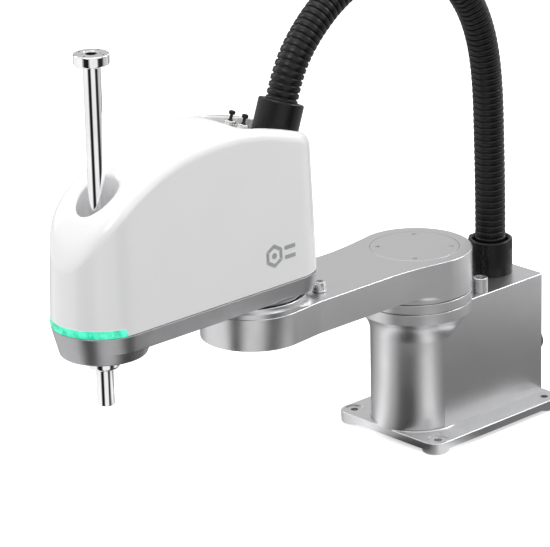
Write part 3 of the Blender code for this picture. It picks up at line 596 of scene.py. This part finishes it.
DUCT_RIB = (  # along the duct, depth below its outer radius
    (0.0, DUCT_GROOVE), (0.7, DUCT_GROOVE), (1.1, 0.7), (1.6, 0.15), (3.2, 0.0),
    (5.4, 0.0), (6.6, 0.15), (7.1, 0.7), (7.5, DUCT_GROOVE),
)
# Where each half of the duct would start to follow its own body, and where it would follow it fully, in
# metres; duct_half does not use them.
TO_ARM2 = ((0.0, -0.03, 0.605), (0.0, -0.2186, 0.471))
TO_BASE = ((0.0, 0.02, 0.60), (0.0, 0.136, 0.23))


def middle(node):
    """The middle of a CAD node's box."""
    return [(low + high) / 2 for low, high in zip(LOW[node], HIGH[node])]


def upright_at(node):
    """The point at floor height on the vertical line through a node's middle."""
    x, y, _ = middle(node)
    return (x, y, 0.0)


def rod(name, r, z0, z1, at, segments=48):
    """A round cutting tool, taken away once it has cut."""
    return lathe(name, [(0.0, z0), (r, z0), (r, z1), (0.0, z1)], at, STEEL, segments)


def prism(name, outline, z0, z1):
    """An upright cutting tool with a plan outline, taken away once it has cut."""
    return object_from(name, skin([[(x, y, z) for x, y in outline] for z in (z0, z1)]), STEEL)


def front_block(y0, y1, z0, z1):
    """A cutting tool across the whole width, from y0 back to y1."""
    return prism("front", [(-80.0, y0), (80.0, y0), (80.0, y1), (-80.0, y1)], z0, z1)


# ---------------------------------------------------------------- base

def base_casting():
    corners = [(PLATE_X, PLATE_FRONT), (PLATE_X, PLATE_REAR), (-PLATE_X, PLATE_REAR), (-PLATE_X, PLATE_FRONT)]
    outline = rounded([(x, y, CORNER_R) for x, y in corners], steps=16)
    plate = slab("base_foot_plate", outline, *PLATE_Z, CAST, top=1.0, bottom=0.7)
    tools = [rod("bolt", BOLT_R, -1.0, 20.0, (x, y, 0.0)) for x, y in BOLTS]
    tools += [rod("spot", BOLT_SPOT_R, PLATE_Z[1] - 1.4, 20.0, (x, y, 0.0), 64) for x, y in BOLTS if y < 0]
    cut(plate, tools)
    profile = disc_profile(CORNER_R - 0.3, 0.0, FOOT_TOP, 1.6, 0.0)
    xs = (CORNER_R - PLATE_X, PLATE_X - CORNER_R)
    ys = (PLATE_FRONT + CORNER_R, PLATE_REAR - CORNER_R)
    feet = []
    for spot, bolt in zip([(x, y, 0.0) for x in xs for y in ys], BOLTS):
        foot = lathe("foot", profile, spot, CAST)
        feet.append(cut(foot, [rod("hole", BOLT_R, -1.0, 9.0, (*bolt, 0.0))]))
    pad = lathe("pad", disc_profile(PAD_R, 0.0, PAD_TOP, 1.0, 0.0), (0, 0, 0), CAST)
    piece(join(plate, pad, *feet), "base", "cast_aluminium", "base_casting")

    neck = [(0.0, 14.0, 0.0), (COLUMN_R, 14.0, 0.0), (COLUMN_R, 146.0, 34.0), (RING_R - 0.6, 160.0, 0.0)]
    neck += [(RING_R, 160.6, 0.4), (RING_R, RING_TOP, 1.0), (0.0, RING_TOP, 0.0)]
    column = lathe("base_column", rounded(neck, steps=14), (0, 0, 0), CAST, 160)
    lip = [(COLUMN_R - 1.0, 14.5, 0.0), (COLUMN_R + 2.2, 14.5, 0.0), (COLUMN_R + 2.2, 15.05, 0.0)]
    lip += [(COLUMN_R, 15.05, 1.7), (COLUMN_R, 18.0, 0.0), (COLUMN_R - 1.0, 18.0, 0.0)]
    fillet = lathe("fillet", rounded(lip, steps=8), (0, 0, 0), CAST, 160)
    cut(fillet, [front_block(-80.0, PLATE_FRONT + 0.6, 10.0, 25.0)])
    piece(join(column, fillet), "base", "cast_aluminium", "base_casting")

    sides = [(COLUMN_R, -6.0, 0.0), (COLUMN_R, REAR_BLOCK_BACK, 5.0)]
    sides += [(-x, y, r) for x, y, r in reversed(sides)]
    block = slab("base_rear_block", rounded(sides, steps=10), 14.5, BLOCK_TOP, CAST, top=1.5, bottom=0.2)
    room = [(ROOM_HALF, 120.0), (ROOM_HALF, 190.0), (-ROOM_HALF, 190.0), (-ROOM_HALF, 120.0)]
    cut(block, [slab("room", room, 23.4, BLOCK_TOP - 8.4, CAST, top=0.1, bottom=0.1)])
    piece(block, "base", "cast_aluminium", "base_casting")


def reducer_ring():
    low, high = RING_TOP + 0.5, HIGH["j1_reducer_housing"].z
    profile = disc_profile(RING_R - 0.1, low, high, 0.7, 1.1, inner=20.0)
    ring = lathe("reducer_ring", profile, (0, 0, 0), CAST, 160)
    piece(ring, "base", "cast_aluminium", "j1_reducer_housing")


def stop_posts():
    for node in ("j1_stop_post_left", "j1_stop_post_right"):
        low, high = LOW[node].z, HIGH[node].z
        corners = [(0.0, low, 0.0), (9.2, low, 0.0), (9.2, high, 1.2), (4.6, high, 0.3)]
        corners += [(4.6, high - 5.0, 0.0), (0.0, high - 5.0, 0.0)]
        post = lathe(node + "_turned", rounded(corners, steps=5), upright_at(node), STEEL, 72)
        piece(post, "base", "bright_steel", node)


def base_connectors():
    for node, pins in (("power_connector", 4), ("signal_connector", 9)):
        x, _, z = middle(node)
        start = LOW[node].y
        corners = [(0.0, 0.0, 0.0), (13.4, 0.0, 0.0), (13.4, 12.7, 0.0), (16.9, 12.7, 0.8)]
        corners += [(16.9, 17.8, 0.8), (13.9, 17.8, 0.4), (13.9, 31.8, 0.7), (11.2, 31.8, 0.4)]
        corners += [(11.2, 22.2, 0.0), (0.0, 22.2, 0.0)]
        shell = lathe(node + "_shell", rounded(corners, steps=4), (x, start, z), NYLON, 72, TO_REAR)
        parts = [shell]
        for n in range(7):
            y = 20.4 + 1.5 * n
            thread = rounded([(13.5, y - 0.6, 0.0), (14.3, y, 0.1), (13.5, y + 0.6, 0.0)], steps=2)
            parts.append(lathe("thread", thread, (x, start, z), NYLON, 72, TO_REAR))
        for n in range(pins):
            turn = 2.0 * math.pi * n / pins
            spot = (x + 6.4 * math.cos(turn), start, z + 6.4 * math.sin(turn))
            pin = disc_profile(0.9, 21.0, 29.0, 0.0, 0.6, steps=3)
            parts.append(lathe("pin", pin, spot, ZINC, 16, TO_REAR))
        piece(join(*parts), "base", "black_nylon", node)
    for node in ("base_air_fitting_1", "base_air_fitting_2"):
        x, _, z = middle(node)
        nut = slab("nut", nut_outline(6.9), 0.0, 7.6, ZINC, top=0.4, bottom=0.4)
        corners = [(2.5, 0.5, 0.0), (5.9, 0.5, 0.0), (5.9, 15.9, 1.4), (2.5, 15.9, 0.5)]
        sleeve = lathe("sleeve", rounded(corners), (0, 0, 0), ZINC, 48)
        made = join(sleeve, nut)
        made.name = node + "_turned"
        place = Matrix.Translation(Vector((x, LOW[node].y, z)) * MM)
        made.data.transform(place @ Matrix.Rotation(TO_REAR, 4, "X"))
        piece(made, "base", "plated_brass", node)


def duct_foot():
    node = "base_duct_collar"
    y = middle(node)[1]
    low, high = LOW[node].z, HIGH[node].z
    corners = [(22.1, low, 0.0), (27.9, low, 0.0), (27.9, high, 2.0), (23.8, high, 0.9)]
    corners += [(22.1, high - 3.0, 0.8)]
    collar = lathe("base_collar_turned", rounded(corners), (0.0, y, 0.0), NYLON, 112)
    rim = disc_profile(27.98, low, low + 3.0, 0.0, 0.9, inner=26.6, steps=4)
    band = lathe("band", rim, (0.0, y, 0.0), NYLON, 112)
    # The latch patches sit flush on the collar in the near-black matte, painted shade for the latch recesses.
    latches = []
    for turn in (200.0, 20.0):
        outline = arc(0.0, y, 27.95, turn - 9, turn + 9, 4) + arc(0.0, y, 25.4, turn + 9, turn - 9, 4)
        latches.append(slab("latch", outline, high - 12.0, high - 0.2, RECESS_SHADE, top=0.3, bottom=0.3, steps=2))
    piece(join(collar, band, *latches), "base", "black_nylon", node)


# ---------------------------------------------------------------- arm 1

def bend(p, q, pull_p, pull_q, steps):
    """Points between p and q on a cubic whose ends leave along the two pulls."""
    made = []
    for k in range(1, steps):
        t = k / steps
        a, b = 2 * t**3 - 3 * t**2 + 1, t**3 - 2 * t**2 + t
        c, d = 3 * t**2 - 2 * t**3, t**3 - t**2
        made.append(tuple(a * p[i] + b * pull_p[i] + c * q[i] + d * pull_q[i] for i in (0, 1)))
    return made


def arm1_outline():
    """Plan of arm 1: the drum over the base, a waisted beam and a round end under arm 2."""
    leave, meet = 6.0, 10.0
    start = (RING_R * math.cos(math.radians(leave)), -RING_R * math.sin(math.radians(leave)))
    waist, shoulder = (BEAM_HALF, -100.0), (BEAM_HALF, -215.0)
    end = (HUB_R * math.cos(math.radians(meet)), J2[1] + HUB_R * math.sin(math.radians(meet)))
    side = [start] + bend(start, waist, (-15.0, -80.0), (0.0, -100.0), 20) + [waist]
    side += [(BEAM_HALF, -100.0 - 115.0 * k / 12) for k in range(1, 13)]
    side += bend(shoulder, end, (0.0, -30.0), (1.3, -30.0), 10)
    hub = arc(0.0, J2[1], HUB_R, meet, -180.0 - meet, 90)
    drum = arc(0.0, 0.0, RING_R, 180.0 + leave, -leave, 96)
    return side + hub + [(-x, y) for x, y in reversed(side)] + drum[1:-1]


def arm1_casting():
    bottom, top = BEAM_Z
    body = slab("arm1_body", arm1_outline(), DRUM_BOTTOM, top, CAST, top=1.2, bottom=0.8, steps=5)
    under = [(RING_R + 0.6, 180.0, 0.0), (RING_R + 0.6, bottom - 0.4, 7.0), (RING_R + 13.0, bottom, 0.0)]
    under += [(400.0, bottom, 0.0), (400.0, 180.0, 0.0)]
    recess = rod("recess", CAP_R + 0.3, top - 3.2, top + 5.0, (0, 0, 0), 160)
    room = rod("room", 47.0, 180.0, top - 8.0, (0, 0, 0), 96)
    cut(body, [lathe("under", rounded(under, steps=10), (0, 0, 0), CAST, 144), recess, room])
    foot = PEDESTAL_R + PEDESTAL_FOOT
    corners = [(0.0, top - 2.0, 0.0), (foot, top - 2.0, 0.0), (foot - 0.4, top - 0.02, 0.0)]
    corners += [(PEDESTAL_R, top - 0.02, PEDESTAL_FOOT - 1.0), (PEDESTAL_R, PEDESTAL_TOP, 0.9)]
    corners += [(0.0, PEDESTAL_TOP, 0.0)]
    pedestal = lathe("pedestal", rounded(corners, steps=12), J2, CAST, 160)
    inside = prism("inside", inwards(arm1_outline(), 0.5), top - 4.0, PEDESTAL_TOP + 5.0)
    cut(pedestal, [inside], "INTERSECT")
    lug_outline = arc(0, 0, 92.0, -98.5, -81.5, 12) + arc(0, 0, 74.0, -81.5, -98.5, 12)
    lug = slab("lug", lug_outline, 189.6, bottom + 1.0, CAST, top=0.1, bottom=1.2)
    # A near-black ring in the thin gap between the pedestal and arm 2's boss: painted shade in the gap.
    rim = [(44.3, PEDESTAL_TOP - 4.0, 0.0), (46.5, PEDESTAL_TOP - 4.0, 0.0), (46.5, PEDESTAL_TOP + 0.02, 0.3)]
    seal = lathe("seal", rounded(rim + [(44.3, PEDESTAL_TOP + 0.02, 0.3)], steps=2), J2, RECESS_SHADE, 120)
    piece(join(body, pedestal, lug, seal), "arm1", "cast_aluminium", "arm1_casting")


def cap_and_screws():
    top = HIGH["j1_cap"].z
    cap = lathe("j1_cap_disc", disc_profile(CAP_R, top - 3.0, top, 0.0, 0.35, steps=3), (0, 0, 0), CAST, 160)
    nodes = [f"j1_cap_screw_{n + 1}" for n in range(4)]
    spots = [upright_at(node) for node in nodes]
    cut(cap, [rod("hole", 2.9, top - 2.2, top + 2.0, spot, 40) for spot in spots])
    piece(cap, "arm1", "cast_aluminium", "j1_cap")
    for node, spot in zip(nodes, spots):
        profile = disc_profile(2.5, top - 2.8, top - 0.7, 0.0, 0.4, steps=3)
        head = lathe(node + "_head", profile, spot, STEEL, 40)
        cut(head, [rod("socket", 1.4, top - 1.9, top, spot, 6)])
        piece(head, "arm1", "bright_steel", node)


def stop_screws():
    for node in ("j2_stop_screw_left", "j2_stop_screw_right"):
        spot = upright_at(node)
        seat, top = BEAM_Z[1] + 0.3, HIGH[node].z
        corners = [(0.0, seat, 0.0), (8.8, seat, 0.4), (8.8, seat + 1.7, 0.4), (7.7, seat + 1.9, 0.1)]
        corners += [(7.7, top, 0.9), (0.0, top, 0.0)]
        head = lathe(node + "_head", rounded(corners, steps=4), spot, STEEL, 72)
        cut(head, [rod("socket", 4.4, top - 2.6, top + 2.0, spot, 6)])
        piece(head, "arm1", "bright_steel", node)


# ---------------------------------------------------------------- arm 2

def spine(y):
    """The nearest place on arm 2's middle line, which runs from the quill to the rear spine."""
    return min(max(y, QUILL[1]), REAR_SPINE)


def arm2_outline(half, front=None):
    """Plan of arm 2: a half circle at the quill, drawn in to front there, then sides and rear."""
    corner = REAR_CORNER + half - HALF
    made = []
    for k in range(64):
        a = math.pi + math.pi * k / 64
        share = min(1.0, 1.5 * abs(math.sin(a)))
        share = share * share * (3.0 - 2.0 * share)
        r = half if front is None else half + (front - half) * share
        made.append((r * math.cos(a), QUILL[1] + r * math.sin(a)))
    span = REAR_SPINE - QUILL[1]
    made += [(half, QUILL[1] + span * k / 48) for k in range(48)]
    made += arc(REAR_FLAT, REAR_SPINE, corner, 0.0, 90.0, 22)
    made += arc(-REAR_FLAT, REAR_SPINE, corner, 90.0, 180.0, 22)
    made += [(-half, REAR_SPINE - span * k / 48) for k in range(1, 48)]
    return made


def arm2_casting():
    low, high = STRIP_Z
    drum_low = LOW["arm2_casting"].z
    slope = (HALF - CONE_R) / (high - drum_low)
    sides = ((low, 3.2), (low + 0.35, 2.4), (low + 1.1, 2.1), (low + 8.0, 1.3))
    sides += ((high - 0.8, 0.1), (high, 0.6))
    rings = []
    for z, inset in sides:
        cone = HALF - slope * (high - z)
        half = HALF - inset
        rings.append([(x, y, z) for x, y in arm2_outline(half, min(cone, half))])
    strip = object_from("arm2_strip", skin(rings), CAST_DARK)
    corners = [(0.0, drum_low, 0.0), (CONE_R, drum_low, 3.0)]
    corners += [(HALF - 0.5, high - 1.0, 0.0), (0.0, high - 1.0, 0.0)]
    drum = lathe("drum", rounded(corners, steps=8), QUILL, CAST_DARK, 160)
    cut(drum, [rod("hole", 22.5, 230.0, 246.2, QUILL, 96), rod("bore", 18.6, 245.0, 262.0, QUILL, 96)])
    r = HALF - slope * (high - low)
    web = [(r - 4.0, low - 4.0, 0.0), (r - 0.95, low - 4.0, 0.0), (r, low - 0.3, 2.6)]
    web += [(r + 3.2, low - 0.05, 0.0), (r + 3.2, low + 0.6, 0.0), (r - 4.0, low + 0.6, 0.0)]
    fillet = lathe("web", rounded(web, steps=6), QUILL, CAST_DARK, 160)
    cut(fillet, [front_block(-600.0, QUILL[1] + 4.0, 240.0, 262.0)])
    boss_low = PEDESTAL_TOP + 1.2
    profile = disc_profile(BEAM_HALF, boss_low, low + 1.5, 0.8, 0.0, inner=30.0, steps=4)
    boss = lathe("boss", profile, J2, CAST_DARK, 160)
    outline = arc(0, J2[1], 88.0, -120.0, -60.0, 24) + arc(0, J2[1], 76.0, -60.0, -120.0, 24)
    lug = slab("lug", outline, 247.0, low + 1.0, CAST_DARK, top=0.1, bottom=1.0)
    piece(join(strip, drum, fillet, boss, lug), "arm2", "arm2_aluminium", "arm2_casting")


def smooth_crown():
    """Heights of the cover's top along its middle, every 2 mm, eased between the CROWN points."""
    first, last, step = CROWN[0][0], CROWN[-1][0], 2.0
    count = int((last - first) / step)
    raw = []
    for n in range(count + 1):
        y = first + n * step
        (y0, z0), (y1, z1) = next(pair for pair in zip(CROWN, CROWN[1:]) if pair[1][0] >= y)
        raw.append(z0 + (z1 - z0) * (y - y0) / (y1 - y0))
    raw = eased(raw, 26)

    def height(y):
        place = min(max((y - first) / step, 0.0), count - 0.001)
        n = int(place)
        return raw[n] + (raw[n + 1] - raw[n]) * (place - n)

    return height


def between(ring, other, share):
    """A ring part of the way from one ring to another."""
    return [tuple(a[i] + (b[i] - a[i]) * share for i in (0, 1, 2)) for a, b in zip(ring, other)]


def cover_rings(height):
    """Rings of the cover's outer skin, from its bottom edge over the shoulder to the middle line."""
    base = arm2_outline(HALF - 0.1)
    rings = [[(x, y, COVER_BOTTOM + 0.3) for x, y in arm2_outline(HALF - 0.7)]]
    rings.append([(x, y, COVER_BOTTOM + 0.9) for x, y in base])

    shoulder = []
    for k in range(13):
        turn = math.pi / 2 * k / 12
        inset, rise = COVER_EDGE * (1.0 - math.cos(turn)), COVER_EDGE * (math.sin(turn) - 1.0)
        ring = []
        for x, y in base:
            reach = math.hypot(x, y - spine(y))
            draft = COVER_DRAFT * (height(y) + rise - COVER_BOTTOM) / reach
            share = (1.0 - draft) * (1.0 - inset / reach)
            px, py = x * share, spine(y) + (y - spine(y)) * share
            ring.append((px, py, height(py) + rise))
        shoulder.append(ring)
    for share in (0.25, 0.5, 0.75):
        rings.append(between(rings[1], shoulder[0], share))
    rings += shoulder
    edge = shoulder[-1]
    for share in (0.12, 0.25, 0.4, 0.55, 0.7, 0.85, 1.0):
        ring = []
        for x, y, _ in edge:
            py = y + (spine(y) - y) * share
            ring.append((x * (1.0 - share), py, height(py) + 1.6 * share * (2.0 - share)))
        rings.append(ring)
    return rings


def rim_patch(outline, rim, floor_at, tree, hole):
    """A room sunk in the cover: rounded rim, upright wall, rounded foot, and a floor or a hole."""
    foot = 2.5
    rings = []
    for k in range(8):
        turn = math.pi / 2 * k / 7
        away, drop = rim * (1.0 - math.sin(turn)), rim * (1.0 - math.cos(turn))
        rings.append([(x, y, top_of(tree, x, y) - drop) for x, y in inwards(outline, -away)])
    wall = [(x, y, floor_at(y) + foot) for x, y in outline]
    for share in (0.4, 0.8):
        rings.append(between(rings[7], wall, share))
    for k in range(5):
        turn = math.pi / 2 * k / 4
        away, rise = foot * (1.0 - math.cos(turn)), foot * (1.0 - math.sin(turn))
        rings.append([(x, y, floor_at(y) + rise) for x, y in inwards(outline, away)])
    cx = sum(x for x, _ in outline) / len(outline)
    cy = sum(y for _, y in outline) / len(outline)
    ring = []
    for x, y, _ in rings[-1]:
        share = hole / math.hypot(x - cx, y - cy) if hole else 0.5
        px, py = cx + (x - cx) * share, cy + (y - cy) * share
        ring.append((px, py, floor_at(py)))
    rings.append(ring)
    if hole:
        rings.append([(x, y, z - 6.0) for x, y, z in ring])
    bm = skin(rings, caps=False)
    if not hole:
        bm.verts.ensure_lookup_table()
        bm.faces.new(bm.verts[-len(outline):])
    return object_from("sunk", bm, SHELL)


def top_of(tree, x, y):
    """Height of the cover's skin at a place in plan."""
    hit = tree.ray_cast(Vector((x, y, 700.0)) * MM, Vector((0.0, 0.0, -1.0)))
    return hit[0].z / MM


def pocket_floor(y):
    return POCKET_MIDDLE[2] - math.tan(POCKET_TILT) * (y - POCKET_MIDDLE[1])


def arm2_cover():
    height = smooth_crown()
    rings = cover_rings(height)
    bm = skin(rings, caps=False)
    bm.verts.ensure_lookup_table()
    bm.faces.new(bm.verts[:len(rings[0])])
    bmesh.ops.remove_doubles(bm, verts=bm.verts, dist=0.02 * MM)
    body = object_from("cover_shell", bm, SHELL)
    tree = BVHTree.FromObject(body, bpy.context.evaluated_depsgraph_get())
    cup = arc(*QUILL[:2], CUP_R, 0.0, 360.0, 96)[:-1]
    half = [(POCKET_HALF, POCKET_FRONT, 12.0), (POCKET_HALF, POCKET_REAR, 30.0)]
    pocket = rounded(half + [(-x, y, r) for x, y, r in reversed(half)], steps=16)
    rooms = (  # outline, rim radius, floor height, hole in the floor
        (cup, 4.0, lambda y: CUP_FLOOR, CUP_HOLE_R),
        (pocket, 3.0, pocket_floor, None),
    )
    patches = []
    tools = []
    for outline, rim, floor_at, hole in rooms:
        patches.append(rim_patch(outline, rim, floor_at, tree, hole))
        wide = inwards(outline, -rim)
        deep = min(floor_at(y) for _, y in wide) - 9.0
        tools.append(prism("tool", wide, deep, 620.0))
    cut(body, tools)
    piece(join(body, *patches), "arm2", "white_shell", "arm2_cover")


def badge():
    """A generic sign on the cover's right side: a hexagon with a hub in it, and two stripes."""
    y, z, r = BADGE_Y, BADGE_Z, BADGE_R

    def side_x(v):
        """Where the drafted side is at a height."""
        return HALF - 0.1 - COVER_DRAFT * (v - COVER_BOTTOM)

    shapes = []
    for start in range(30, 390, 60):
        outer = arc(y, z, r, start + 1.5, start + 58.5, 1)
        shapes.append(outer + arc(y, z, r - BADGE_BAR, start + 58.5, start + 1.5, 1))
    shapes.append(arc(y, z, 3.6, 0.0, 345.0, 23))
    for low in (z - 8.0, z + 3.4):
        high = low + BADGE_BAR
        shapes.append([(y + 16.5, low), (y + 33.0, low), (y + 33.0, high), (y + 16.5, high)])
    raised = []
    for outline in shapes:
        rows = [[(side_x(v) + lift, u, v) for u, v in outline] for lift in (-0.6, 0.4)]
        raised.append(object_from("cover_badge", skin(rows), MARK))
    piece(join(*raised), "arm2", "black_nylon")


def status_light():
    """A green band round the front of arm 2 whose ends are rounded off, and the lamps in it."""
    low, high = LOW["status_light"].z + 0.1, HIGH["status_light"].z
    rings = []
    count = 120
    for k in range(count + 1):
        a = -LIGHT_SWEEP + 2.0 * LIGHT_SWEEP * k / count
        rest = (LIGHT_SWEEP - abs(a)) * HALF
        drop = 0.0
        if rest < LIGHT_END:
            drop = (LIGHT_END - math.sqrt(LIGHT_END**2 - (LIGHT_END - rest) ** 2)) * 0.9
        top = max(high - drop, low + 0.8)
        section = ((55.0, low), (HALF - 0.02, low), (HALF, (low + top) / 2))
        section += ((HALF - 0.12, top - 0.4), (HALF - 0.8, top), (55.0, top))
        rings.append([(r * math.sin(a), QUILL[1] - r * math.cos(a), z) for r, z in section])
    band = object_from("light_band", skin(rings), LENS)
    piece(band, "arm2", "green_lens", "status_light")
    lamps = []
    for n in range(-6, 7):
        a = math.radians(12.2 * n)
        bm = bmesh.new()
        bmesh.ops.create_cube(bm, size=1.0, matrix=Matrix.Diagonal((0.0009, 0.0006, 0.0036, 1.0)))
        bmesh.ops.bevel(bm, geom=bm.edges[:], offset=0.0002, segments=2, affect="EDGES")
        r = HALF - 0.05
        spot = Vector((r * math.sin(a), QUILL[1] - r * math.cos(a), low + 4.6)) * MM
        bmesh.ops.transform(bm, matrix=Matrix.Translation(spot) @ Matrix.Rotation(a, 4, "Z"), verts=bm.verts)
        lamps.append(object_from("lamp", bm, LAMP))
    made = join(*lamps)
    made.name = "light_lamps"
    piece(made, "arm2", "green_lens", "status_light")


def upper_collar():
    corners = [(20.0, 0.4, 0.0), (27.3, 0.4, 0.5), (27.3, 47.4, 2.4), (21.2, 47.4, 0.5)]
    corners += [(21.2, 42.0, 0.4), (20.0, 41.0, 0.2)]
    collar = lathe("arm2_collar_turned", rounded(corners), COLLAR_SEAT, NYLON, 120, -POCKET_TILT)
    piece(collar, "arm2", "black_nylon", "arm2_duct_collar")


def air_fittings():
    turn = Matrix.Rotation(-POCKET_TILT, 4, "X")
    for side, x in (("left", -FITTING_X), ("right", FITTING_X)):
        spot = Vector(POCKET_MIDDLE) + turn @ Vector((x, -FITTING_FORWARD, 0.3))
        move = Matrix.Translation(spot * MM) @ turn
        nuts = []
        for z0, z1, r in ((0.2, 5.6, 8.2), (7.4, 10.2, 7.4)):
            nuts.append(slab("nut", nut_outline(r, 12.0), z0, z1, ZINC, top=0.35, bottom=0.35, steps=3))
        corners = [(0.0, 0.2, 0.0), (6.0, 0.2, 0.0), (6.0, 10.6, 0.3), (7.0, 11.0, 0.3)]
        corners += [(7.0, 13.3, 0.9), (3.2, 13.4, 0.4), (3.2, 9.0, 0.0), (0.0, 9.0, 0.0)]
        sleeve = lathe("sleeve", rounded(corners, steps=4), (0, 0, 0), ZINC, 48)
        made = join(sleeve, *nuts)
        made.name = f"air_fitting_{side}_turned"
        made.data.transform(move)
        piece(made, "arm2", "plated_brass", f"air_fitting_{side}")
        corners = [(0.0, 9.5, 0.0), (2.9, 9.5, 0.0), (2.9, 14.6, 0.6), (1.9, 15.6, 0.6)]
        corners += [(1.9, 20.0, 0.8), (3.9, 21.4, 0.9), (3.9, 24.6, 1.1), (2.2, 25.6, 0.6)]
        corners += [(0.0, 25.6, 0.0)]
        plug = lathe(f"air_plug_{side}_turned", rounded(corners, steps=5), (0, 0, 0), NYLON, 48)
        plug.data.transform(move)
        piece(plug, "arm2", "black_nylon", f"air_plug_{side}")


# ---------------------------------------------------------------- quill

def quill():
    low, high = LOW["quill_shaft"].z, HIGH["quill_shaft"].z
    corners = [(6.5, low, 0.4), (10.0, low, 1.1), (10.0, high, 0.2), (6.5, high, 0.2)]
    shaft = lathe("quill_ground_shaft", rounded(corners, steps=5), QUILL, CHROME, 128)
    # A near-black sleeve and disc inside the hollow shaft: painted shade in its bore.
    bore_shade = [(6.6, high - 40.0), (6.45, high - 0.6), (6.2, high - 0.6), (6.2, high - 40.0)]
    bore = lathe("bore", bore_shade, QUILL, RECESS_SHADE, 64)
    plug = lathe("plug", disc_profile(6.5, high - 42.0, high - 38.0, 0.0, 0.0), QUILL, RECESS_SHADE, 64)
    piece(join(shaft, bore, plug), "quill", "ground_chrome", "quill_shaft")
    node = "quill_top_collar"
    low, high, r = LOW[node].z, HIGH[node].z, HIGH[node].x
    corners = [(10.2, low, 0.2), (r, low, 2.8), (r, high, 1.5), (10.2, high, 0.3)]
    collar = lathe("quill_collar", rounded(corners, steps=8), QUILL, CHROME, 144)
    holes = []
    for n in range(4):
        a = math.radians(90.0 * n + 20.0)
        spot = (15.3 * math.cos(a), QUILL[1] + 15.3 * math.sin(a), 0.0)
        holes.append(rod("hole", 1.25, high - 5.0, high + 1.0, spot, 24))
    cut(collar, holes)
    piece(collar, "quill", "ground_chrome", node)
    node = "quill_stop_ring"
    low, high, r = LOW[node].z, HIGH[node].z, HIGH[node].x
    corners = [(10.2, low, 0.2), (r, low, 4.2), (r, high, 0.5), (10.2, high, 0.2)]
    ring = lathe("quill_ring", rounded(corners, steps=8), QUILL, CHROME, 144)
    piece(ring, "quill", "ground_chrome", node)


# ---------------------------------------------------------------- cable duct

def duct_line():
    """The duct's middle line as closely spaced points, from the arm 2 end to the base."""
    points = [Vector(p) for p in DUCT_ROUTE]
    made = []
    for i in range(len(points) - 1):
        p0, p1 = points[max(i - 1, 0)], points[i]
        p2, p3 = points[i + 1], points[min(i + 2, len(points) - 1)]
        for k in range(24):
            t = k / 24
            square = 2 * p0 - 5 * p1 + 4 * p2 - p3
            cube = 3 * p1 - p0 - 3 * p2 + p3
            made.append((2 * p1 + (p2 - p0) * t + square * t**2 + cube * t**3) / 2)
    made.append(points[-1])
    return eased(made, 40)


def duct_half(name, line, first, last, start, end, other_body):
    """One half of the duct, from rib first up to rib last; start, end and other_body are not used."""
    sides = 44
    stations = [(rib * DUCT_PITCH + along, deep) for rib in range(first, last) for along, deep in DUCT_RIB]
    stations.append((last * DUCT_PITCH - 0.01, DUCT_GROOVE))
    lengths = [0.0]
    for a, b in zip(line, line[1:]):
        lengths.append(lengths[-1] + (b - a).length)
    rings = []
    n = 0
    for s, deep in stations:
        while n < len(lengths) - 2 and lengths[n + 1] < s:
            n += 1
        share = (s - lengths[n]) / (lengths[n + 1] - lengths[n])
        at = line[n].lerp(line[n + 1], min(share, 1.0))
        along = (line[min(n + 2, len(line) - 1)] - line[max(n - 1, 0)]).normalized()
        ring = []
        for k in range(sides):
            a = 2.0 * math.pi * k / sides
            out = (DUCT_R - deep) * math.sin(a)
            ring.append(((DUCT_R - deep) * math.cos(a), at.x - along.y * out, at.y + along.x * out))
        rings.append(ring)
    made = object_from(name, skin(rings), NYLON, smooth=50.0)
    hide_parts("cable_duct")
    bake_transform(made)


def cable_duct():
    line = duct_line()
    total = sum((b - a).length for a, b in zip(line, line[1:]))
    ribs = int(total / DUCT_PITCH)
    middle_rib = int(ribs * 0.43)
    duct_half("duct_to_arm2", line, 0, middle_rib, *TO_ARM2, "arm2")
    duct_half("duct_to_base", line, middle_rib, ribs, *TO_BASE, "base")


def dress_nodes():
    """Puts the fine materials on the CAD nodes that stay."""
    slots = {part["node"]: part["material_slot"] for part in frame["record"]["subparts"]}
    for name, node in frame["nodes"].items():
        look = NODE_LOOKS[slots[name]]
        if not node.material_slots:
            node.data.materials.append(look)
        for held in node.material_slots:
            held.material = look


camera()
studio()
dress_nodes()
base_casting()
reducer_ring()
stop_posts()
base_connectors()
duct_foot()
arm1_casting()
cap_and_screws()
stop_screws()
arm2_casting()
arm2_cover()
badge()
status_light()
upper_collar()
air_fittings()
quill()
cable_duct()
